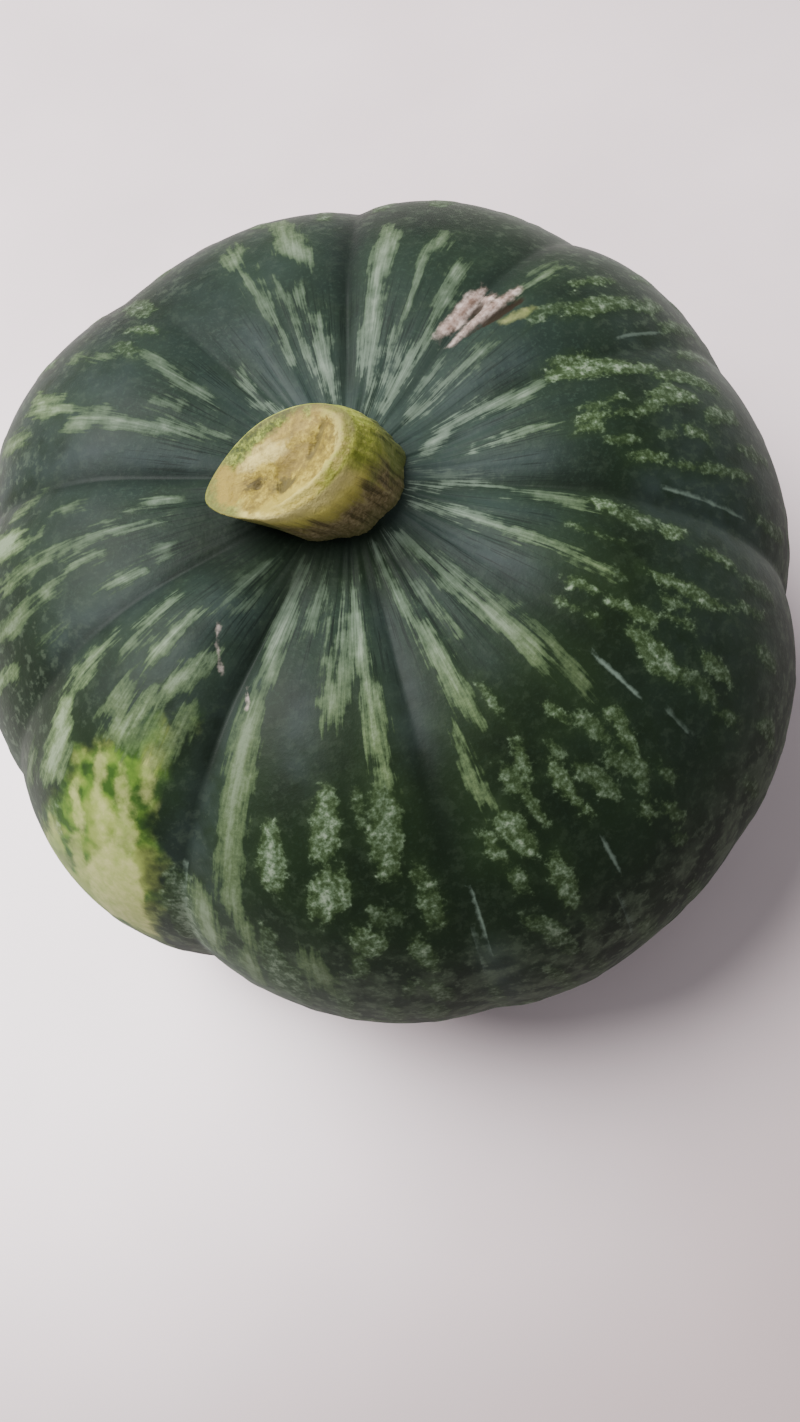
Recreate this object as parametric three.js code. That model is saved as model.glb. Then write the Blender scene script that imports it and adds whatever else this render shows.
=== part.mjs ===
// A kabocha squash: a flattened round fruit with ten shallow ribs, and the stub of its corky stem.
// Millimetres, +Z up. It stands on its blossom end, with the origin on the ground under the middle
// of the fruit's box. The front of the fruit, with the best view of the stem's side, faces -Y.

import * as THREE from 'three';

// ---- Fruit: driving dimensions ----
const meanRadius = 90;          // at the girth, the widest level
const crownHeight = 55;         // from the girth up to the crown, before the dip round the stem
const baseHeight = 54;          // from the girth down to the blossom end, before it is flattened
const crownSquareness = 2.6;    // superellipse exponent above the girth: 2 is round, more is boxier
const baseSquareness = 2.1;     // the same below the girth
const dipDepth = 6.6;           // the dip that the stem stands in
const dipWidth = 24;            // how far the dip's side reaches, out from the stem's seat
const seatRadius = 17;          // the fruit is level under the stem, out to this radius
const crownLean = { x: -1.5, y: 3.5 };   // how far the stem end sits off the fruit's middle

// It grew out of round. Each of these adds that many broad bulges, one of them at the angle given
// (degrees from +X), which stand out by a share of the radius.
const bulges = [
  { count: 2, angle: 90, share: 0.03 },
  { count: 3, angle: 46, share: 0.016 },
  { count: 4, angle: 13, share: 0.0055 },
];

// ---- Ribs ----
// Each furrow runs from the stem to the blossom end, at its own angle about Z (degrees from +X) and
// its own depth. The rib that follows it, counting anticlockwise, swells past the plain round form
// by its own amount, or stays short of it.
const furrows = [
  { angle: 10.5, depth: 0.8, swell: 0.6 },
  { angle: 40, depth: 1.3, swell: 0.4 },
  { angle: 75, depth: 2.6, swell: -0.5 },
  { angle: 117, depth: 0.9, swell: 1.9 },
  { angle: 160, depth: 2.1, swell: -0.5 },
  { angle: 195.5, depth: 1.6, swell: 2.2 },
  { angle: 229.5, depth: 2.8, swell: 0.2 },
  { angle: 267.5, depth: 2.0, swell: -1.2 },
  { angle: 304.5, depth: 0.7, swell: 1.2 },
  { angle: 337, depth: 2.0, swell: 1.1 },
];
const ribRoundness = 0.62;      // below 1 the ribs are full and the furrows between them narrow
const furrowFade = { from: 14, to: 42 };   // they run out between these distances from the axis

// ---- Blossom end, underneath ----
const blossomDipDepth = 3.0;
const blossomDipWidth = 13;
const restCut = 2.4;            // how much of the lowest part is flattened where the fruit rests

// ---- Stem: driving dimensions ----
const stemGap = 0.3;            // between the stem's foot and the fruit
const stemFootRadius = 13.8;
const stemFootPlace = { x: -2.2, y: 1.3 };   // from the crown of the fruit
const cutCentre = new THREE.Vector3(-9.3, -3.7, 14);   // from the middle of the foot
const cutHalfLength = 16.2;     // along the slope of the cut
const cutHalfWidth = 9.8;
const cutSlope = 25;            // degrees from level, falling towards cutDirection
const cutDirection = 173;       // degrees about Z from +X
const cutTaper = 0.36;          // how much narrower the low end of the cut is than its middle
const cutDish = 1.3;            // depth of the hollow in the pith
const stemRidges = 9;
const stemRidgeHeight = 0.45;

// ---- Fineness of the meshes ----
const columnsPerRib = 8;
const fruitRows = 40;
const stemColumns = 36;
const stemRows = 8;

const ribCount = furrows.length;

// Where column u (0 to 1) lies about the axis, and how deep the ribbed surface lies there.
function ribAt(u) {
  const place = THREE.MathUtils.euclideanModulo(u, 1) * ribCount;
  const index = Math.floor(place);
  const share = place - index;
  const start = furrows[index];
  const next = furrows[(index + 1) % ribCount];
  const span = THREE.MathUtils.euclideanModulo(next.angle - start.angle, 360);
  const across = Math.sin(Math.PI * share);
  const furrow = THREE.MathUtils.lerp(start.depth, next.depth, share) * (1 - across ** ribRoundness);
  return {
    angle: THREE.MathUtils.degToRad(start.angle + span * share),
    depth: furrow - start.swell * across,
  };
}

// The share by which the fruit is wider at this angle about Z, in radians, than a round one.
function outOfRound(angle) {
  return bulges.reduce((total, bulge) => {
    const fromBulge = angle - THREE.MathUtils.degToRad(bulge.angle);
    return total + bulge.share * Math.cos(bulge.count * fromBulge);
  }, 0);
}

// 1 in the middle of a dip, falling smoothly to nothing over about twice its width.
function dip(distance, width) {
  return Math.exp(-((distance / width) ** 2));
}

// The fruit's surface: u runs once round the axis, v from the crown (0) to the blossom end (1).
function fruitPoint(u, v) {
  const { angle, depth } = ribAt(u);
  const tilt = (0.5 - v) * Math.PI;
  const above = tilt >= 0;
  const squareness = above ? crownSquareness : baseSquareness;
  const halfHeight = above ? crownHeight : baseHeight;
  const across = Math.max(Math.cos(tilt), 0) ** (2 / squareness);
  const along = Math.abs(Math.sin(tilt)) ** (2 / squareness);

  // The furrows are sunk square to the surface.
  const normal = new THREE.Vector2(
    across ** (squareness - 1) / meanRadius,
    (Math.sign(tilt) * along ** (squareness - 1)) / halfHeight,
  ).normalize();
  const plainRadius = meanRadius * across;
  const sunk = depth * THREE.MathUtils.smoothstep(plainRadius, furrowFade.from, furrowFade.to);
  const radius = Math.max(plainRadius - sunk * normal.x, 0);
  let height = Math.sign(tilt) * halfHeight * along - sunk * normal.y;

  if (above) {
    height -= dipDepth * dip(Math.max(radius - seatRadius, 0), dipWidth);
  } else {
    height += blossomDipDepth * dip(radius, blossomDipWidth);
  }
  height = Math.max(height, restCut - baseHeight);

  const lean = Math.max(height / crownHeight, 0) ** 1.5;
  const reach = radius * (1 + outOfRound(angle));
  return new THREE.Vector3(
    reach * Math.cos(angle) + crownLean.x * lean,
    reach * Math.sin(angle) + crownLean.y * lean,
    height + baseHeight - restCut,
  );
}

// The stem's side, from the middle of its foot: a runs round it, t up from the foot (0) to the cut (1).
function stemPoint(a, t) {
  const ridge = 1 + (stemRidgeHeight / stemFootRadius) * Math.cos(stemRidges * a) * (1 - 0.5 * t);
  const foot = new THREE.Vector3(Math.cos(a), Math.sin(a), 0).multiplyScalar(stemFootRadius * ridge);

  // The rim of the cut is an egg shape on a slope, narrower at its low end.
  const direction = THREE.MathUtils.degToRad(cutDirection);
  const low = Math.cos(a - direction);
  const side = Math.sin(a - direction);
  const width = cutHalfWidth * (1 - cutTaper * Math.max(low, 0) ** 2);
  const rim = new THREE.Vector3(cutHalfLength * low, width * side, 0);
  rim.applyAxisAngle(new THREE.Vector3(0, 1, 0), THREE.MathUtils.degToRad(cutSlope));
  rim.applyAxisAngle(new THREE.Vector3(0, 0, 1), direction);
  rim.add(cutCentre);
  return foot.lerp(rim, t);
}

// Moves every vertex of a round geometry to where shape(u, v) says; v runs up for a lathe.
function reshape(geometry, shape) {
  const position = geometry.attributes.position;
  const uv = geometry.attributes.uv;
  for (let i = 0; i < position.count; i += 1) {
    const point = shape(uv.getX(i), uv.getY(i));
    position.setXYZ(i, point.x, point.y, point.z);
  }
  geometry.computeVertexNormals();
  return geometry;
}

function makeFruit() {
  const sphere = new THREE.SphereGeometry(meanRadius, columnsPerRib * ribCount, fruitRows);
  return reshape(sphere, (u, v) => fruitPoint(u, 1 - v));
}

// Outline steps for the stem: how far out from its middle (0 to 1) and how far up (0 to 1).
function stemOutline() {
  const outline = [new THREE.Vector2(0, 0)];
  for (let row = 0; row <= stemRows; row += 1) {
    outline.push(new THREE.Vector2(1, row / stemRows));
  }
  outline.push(new THREE.Vector2(0.84, 1), new THREE.Vector2(0.45, 1), new THREE.Vector2(0, 1));
  return outline;
}

function makeStem() {
  const outline = stemOutline();
  const lathe = new THREE.LatheGeometry(outline, stemColumns);
  return reshape(lathe, (u, v) => {
    const step = outline[Math.round(v * (outline.length - 1))];
    const around = THREE.MathUtils.euclideanModulo(u, 1) * 2 * Math.PI;
    const point = cutCentre.clone().multiplyScalar(step.y).lerp(stemPoint(around, step.y), step.x);
    point.z -= step.y === 1 ? cutDish * (1 - step.x ** 2) : 0;
    return point;
  });
}

const rind = new THREE.MeshStandardMaterial({ color: 0x22382a, roughness: 0.42, metalness: 0 });
const cork = new THREE.MeshStandardMaterial({ color: 0xa39a4e, roughness: 0.8, metalness: 0 });

const fruit = new THREE.Mesh(makeFruit(), rind);
fruit.name = 'fruit';
const stem = new THREE.Mesh(makeStem(), cork);
stem.name = 'stem';

// The origin lies under the middle of the fruit's box, and the stem stands in the dip.
fruit.geometry.computeBoundingBox();
const middle = fruit.geometry.boundingBox.getCenter(new THREE.Vector3());
const crown = fruitPoint(0, 0);
fruit.position.set(-middle.x, -middle.y, 0);
stem.position.set(
  crown.x + stemFootPlace.x - middle.x,
  crown.y + stemFootPlace.y - middle.y,
  crown.z + stemGap,
);

const squash = new THREE.Group();
squash.add(fruit, stem);

export default squash;
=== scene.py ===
"""A kabocha squash: a dark green ribbed rind with pale streaks, and the stub of its corky stem.

Metres, +Z up, the blossom end on the floor at z = 0. Lengths in the tables are in millimetres, and
angles are in degrees round the fruit, anticlockwise from +X.
"""

import math

import bpy
import numpy as np
from mathutils import Matrix, Vector, noise


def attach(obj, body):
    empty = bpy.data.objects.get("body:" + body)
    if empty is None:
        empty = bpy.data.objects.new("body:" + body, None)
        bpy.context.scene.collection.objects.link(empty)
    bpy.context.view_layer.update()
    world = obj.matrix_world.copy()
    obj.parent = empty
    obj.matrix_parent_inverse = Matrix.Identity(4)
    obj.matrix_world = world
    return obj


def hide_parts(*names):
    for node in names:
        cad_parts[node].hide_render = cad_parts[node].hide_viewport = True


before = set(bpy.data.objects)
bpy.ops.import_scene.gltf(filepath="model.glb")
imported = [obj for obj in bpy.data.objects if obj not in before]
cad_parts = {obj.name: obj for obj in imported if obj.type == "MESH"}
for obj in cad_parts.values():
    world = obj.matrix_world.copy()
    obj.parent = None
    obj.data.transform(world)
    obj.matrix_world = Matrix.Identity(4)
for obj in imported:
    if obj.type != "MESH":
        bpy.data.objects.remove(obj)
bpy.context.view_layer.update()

MM = 0.001

# ---- Rind form ----
MEAN_RADIUS = 90.0
CROWN_HEIGHT, BASE_HEIGHT = 55.0, 54.0
CROWN_SQUARENESS, BASE_SQUARENESS = 2.6, 2.1
DIP_DEPTH, DIP_WIDTH, SEAT_RADIUS = 6.6, 24.0, 17.0
CROWN_LEAN = (-1.5, 3.5)        # how far the crown leans off the middle
CROWN_LEAN_CURVE = 1.5
FRUIT_MIDDLE = (-0.459, -0.639)
BLOSSOM_DIP_DEPTH, BLOSSOM_DIP_WIDTH = 3.0, 13.0
REST_CUT = 2.4                  # how much of the underside is flat where it rests
PROFILE_STEPS = 6001

# Broad bulges that make it out of round: how many, the angle of one, and the share of the radius.
BULGES = [(2, 90, 0.03), (3, 46, 0.016), (4, 13, 0.0055)]

# Furrows: angle, depth, and the swell of the rib that follows.
FURROWS = np.array([
    (10.5, 0.8, 0.6), (40, 1.3, 0.4), (75, 2.6, -0.5), (117, 0.9, 1.9), (160, 2.1, -0.5),
    (195.5, 1.6, 2.2), (229.5, 2.8, 0.2), (267.5, 2.0, -1.2), (304.5, 0.7, 1.2), (337, 2.0, 1.1),
])
RIBS = len(FURROWS)
RIB_ROUNDNESS = 0.62
FURROW_FADE = (14.0, 42.0)
CREASE_SOFTNESS = 0.05          # rounds the bottom of each furrow

# ---- Rind mesh ----
COLUMNS = 48 * RIBS
ROWS = 206
GIRTH_ROW_SHARE = 0.6           # the share of the rows that lies above the girth

# ---- Stem form ----
STEM_FOOT = (-2.980, 4.829, 100.3)
STEM_SUNK = 1.2                 # how far its foot goes into the rind
FOOT_RADIUS = 13.8
CUT_CENTRE = (-9.3, -3.7, 14.0)
CUT_HALF_LENGTH, CUT_HALF_WIDTH = 16.2, 9.8
CUT_SLOPE, CUT_DIRECTION = 25.0, 173.0
CUT_TAPER = 0.36
CUT_DISH = 1.3
STEM_RIDGES, STEM_RIDGE_HEIGHT = 9, 0.3
STEM_COLUMNS, STEM_ROWS, CUT_RINGS = 216, 44, 52
ALMOST_CUT = 0.9999             # the share of its height from which a point is on the cut

# ---- Markings: each starts with how strong it is (0 to 1), then the points it follows down the
# rind, as (mm from the stem end, degrees round, width in degrees). ----
SAGE_STREAKS = [
    # front, left of the middle
    (0.45, (22, 215, 4), (30, 215.5, 5), (34, 216, 2)),
    (0.4, (22, 220, 2), (34, 220.5, 2)),
    (0.6, (20, 231, 6), (26, 232.5, 8), (31, 233.4, 9), (38, 234, 8), (44, 236, 5)),
    (0.6, (44, 234, 3), (52, 235, 6), (60, 235.5, 6.5), (68, 235.8, 5.5), (76, 236.2, 5),
     (86, 236.5, 4)),
    (0.6, (20, 243, 2), (27, 243.5, 4), (33, 244, 2)),
    (0.85, (25, 247, 2), (31, 249, 2.6), (38, 250.2, 2.2), (44, 251.4, 2)),
    (0.8, (25, 252.6, 2.5), (31, 253.6, 3), (38, 254, 3), (44, 252.8, 4), (48, 252.4, 3)),
    (0.95, (22, 257.8, 3), (28, 257.5, 5), (36, 258.6, 6), (44, 260, 5), (52, 260.6, 4),
     (59, 260.4, 3)),
    (0.9, (16, 273.5, 5), (24, 275, 5), (32, 276.5, 5.5), (40, 278, 5.5), (47, 278.5, 4.5),
     (53, 279, 2)),
    (0.8, (28, 284, 1.5), (33, 284.7, 2.5), (38, 285.2, 1.5)),
    (0.4, (17, 284, 4), (24, 283, 3), (30, 282, 2)),
    (0.9, (52, 274.2, 2), (56, 274.6, 3), (61, 274.6, 3), (65, 274.8, 1.5)),
    (0.68, (16, 291.5, 4), (24, 293, 5.5), (32, 294.5, 6), (40, 295.5, 6.5), (47, 295.8, 5.5),
     (53, 295, 2)),
    (0.5, (24, 298, 2), (34, 299, 2.5), (42, 299.3, 2.5), (50, 299.5, 2.5), (60, 297.7, 3)),
    # front, right of the middle
    (0.9, (14, 316, 5), (18, 319, 7), (23, 321, 7), (27, 319.7, 5), (32, 318.6, 3.6),
     (38, 318, 3.6), (45, 317.5, 3.6), (53, 317.5, 2)),
    (1.0, (13.6, 330.5, 4), (17, 333, 4), (21, 335.6, 3.6), (26, 336.6, 3), (30, 336.6, 1.5)),
    (0.8, (33, 333, 3), (36, 333.6, 4.4), (39, 333.6, 4.4), (43, 333.4, 5), (46, 333, 3)),
    (0.25, (15, 343, 3), (22, 341.5, 2), (30, 340.5, 1.5)),
    (0.95, (25, 353.4, 2.5), (29, 354.2, 4.4), (34, 354.2, 5), (40.5, 353.4, 2)),
    (0.72, (14.4, 358, 5), (17, 363, 9), (20, 367, 10), (24, 371, 6.5), (29, 370.5, 6.5),
     (33, 369.5, 6), (37, 368, 4.6), (43, 368, 4)),
    (0.6, (17, 390, 4), (24, 389, 4), (30, 388.5, 4.5), (34, 387.5, 5), (39, 387, 3)),
    (0.5, (16, 392, 3), (20, 395, 4), (25, 397, 4), (30, 397, 3)),
    (0.75, (15, 409, 5), (20, 408.5, 5), (24, 408, 6), (28, 408.5, 5), (33, 407.5, 3.5),
     (38, 407.5, 3.5), (43, 408, 5), (48, 408, 5), (52, 408.5, 2.5)),
    # back
    (0.75, (22, 56.5, 2), (28, 57.5, 3), (34, 57, 3), (38, 56, 2.2), (43, 55.5, 2.2),
     (47, 56, 2.5), (51, 56.5, 3), (55, 55, 3), (59, 55, 2)),
    (0.6, (16, 51, 2), (22, 53, 1.6), (30, 53, 1.4)),
    (0.7, (50, 33, 1.6), (55, 32.8, 2.8), (60, 32.6, 3), (65, 32.4, 1.6)),
    (0.5, (58, 34.6, 1.4), (62, 34.4, 2), (66, 34, 1.2)),
    (0.7, (15, 60, 3), (20, 62, 3.4), (24, 64, 4.4), (30, 65.3, 5.4), (36, 66.3, 6.5),
     (44, 66.5, 6.5), (52, 66.3, 6), (57, 66.5, 5), (61, 67, 3)),
    (0.8, (23, 68, 2), (28, 68.8, 2.4), (33, 69.3, 1.5)),
    (0.75, (16, 82.5, 4), (20, 84, 7.5), (25, 85, 8), (30, 84.5, 7), (35, 84, 6), (38, 84.5, 4)),
    (0.7, (26, 90, 2), (30, 90.5, 3), (34, 91, 3), (39, 91.5, 2)),
    (0.7, (41, 86.5, 1.5), (43, 86.6, 2.6), (45, 86.5, 1.5)),
    (0.6, (42, 91.8, 1.4), (45, 91.6, 2.2), (48, 91.5, 1.4)),
    (0.75, (28, 97, 3), (33, 96, 4), (38, 96, 3), (44, 97, 3.5), (48, 97.5, 4), (53, 97, 3)),
    (0.7, (51, 84, 3), (56, 86.5, 7), (61, 87, 7), (66, 87.5, 5), (74, 88, 4)),
    (0.65, (57, 99, 4), (62, 97.5, 5), (67, 97, 4)),
    (0.75, (20, 116, 5), (24, 117.5, 6), (29, 116.5, 5), (32, 115.5, 3)),
    (0.6, (32, 129.5, 4), (38, 130, 4), (43, 129.2, 4), (48, 127.5, 3), (51, 127.3, 2)),
    (0.55, (36, 137.5, 2), (39, 138.7, 3.2), (42, 139.5, 2)),
    (0.7, (25, 141, 3), (30, 143, 4), (35, 145, 4.5), (40, 146.5, 4), (45, 147, 4), (50, 146, 5),
     (55, 147.3, 5.2), (59, 148, 3)),
    (0.85, (58, 145, 3), (63, 144.6, 5), (68, 143.8, 5), (73, 142, 4)),
    (0.7, (71, 149.6, 2), (76, 149.4, 4), (82, 148.4, 3)),
    (0.6, (57, 131.5, 2), (62, 133.2, 2.2), (68, 133, 2)),
    (0.8, (33, 168.5, 2.2), (37, 169.5, 3.8), (42, 171, 2)),
    (0.7, (36, 177, 2), (42, 176.6, 3), (50, 175.5, 3.6), (60, 176, 3), (68, 175.5, 4),
     (74, 176, 3)),
    (0.65, (65, 162, 3), (69, 163, 3.5), (73, 164, 2)),
    (0.55, (53, 166, 2.5), (57, 167, 2.5)),
    (0.6, (60, 168, 2), (62, 170, 2.6), (63.5, 171, 1.5)),
    (0.9, (66, 169.6, 3), (71, 169, 7), (78, 168, 7), (88, 167, 5)),
    # left
    (0.85, (43, 188.8, 2), (47, 188.8, 3), (51, 188, 2.4), (53.5, 187.5, 1.2)),
    (0.8, (48, 180.5, 2.5), (52, 180.3, 3), (56, 180, 2)),
    (0.5, (35, 186, 3), (38, 186.5, 4)),
    (0.6, (61, 183, 2.4), (63.5, 183.6, 2.4)),
    (0.4, (62, 189.8, 1.8), (68, 189, 1.6)),
    (0.6, (67, 182, 4), (73, 183, 4.5), (79, 182, 3.5)),
    (0.8, (77, 189, 2.6), (84, 187.5, 2.6), (92, 186, 2.6)),
    (0.85, (40, 203.5, 3), (44, 203.6, 4.5), (49, 204, 3.5)),
    (0.6, (50, 205.5, 3), (55, 205, 2.6)),
    (0.95, (39.5, 212, 2.6), (44, 211.6, 4.2), (50, 211.6, 3.8), (52, 212, 2)),
    (0.85, (54, 200.5, 2.5), (58, 200, 4.5), (63, 200.3, 5), (66, 200, 2.5)),
    (1.0, (66, 200.4, 3), (70, 202.6, 6), (75, 205, 7), (80, 205.6, 6), (85, 204.4, 3)),
    (0.5, (83, 200, 2), (88, 200.4, 3.4), (94, 200.6, 2.6)),
    (0.7, (74, 174.6, 2), (80, 174.6, 3.4), (90, 174, 3)),
    (0.65, (55, 211, 3), (59, 211.5, 5), (64, 211.5, 4.5)),
    (0.85, (42.5, 221.8, 2), (45, 221, 4), (48, 220, 4.6), (51, 218.8, 5), (54, 217.4, 5),
     (57.5, 216.2, 4.6), (61, 214.8, 4.6), (66, 213.4, 4)),
    (0.55, (53.5, 222.4, 2), (57, 222.8, 5), (62, 222.6, 5.5), (65.5, 222, 4)),
    (0.5, (58, 218.4, 2), (61, 218, 4), (66, 217.6, 4)),
    (0.65, (83, 231.8, 2), (88, 232.6, 5), (95, 233.4, 5), (104, 234, 3)),
    (0.6, (82, 238.4, 2), (88, 239, 3.6), (94, 239.4, 2)),
    (0.55, (94, 238.4, 2), (100, 239, 4), (110, 239.6, 3)),
    (0.5, (90, 247.4, 2), (95, 248, 4), (103, 248, 3)),
]
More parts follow.
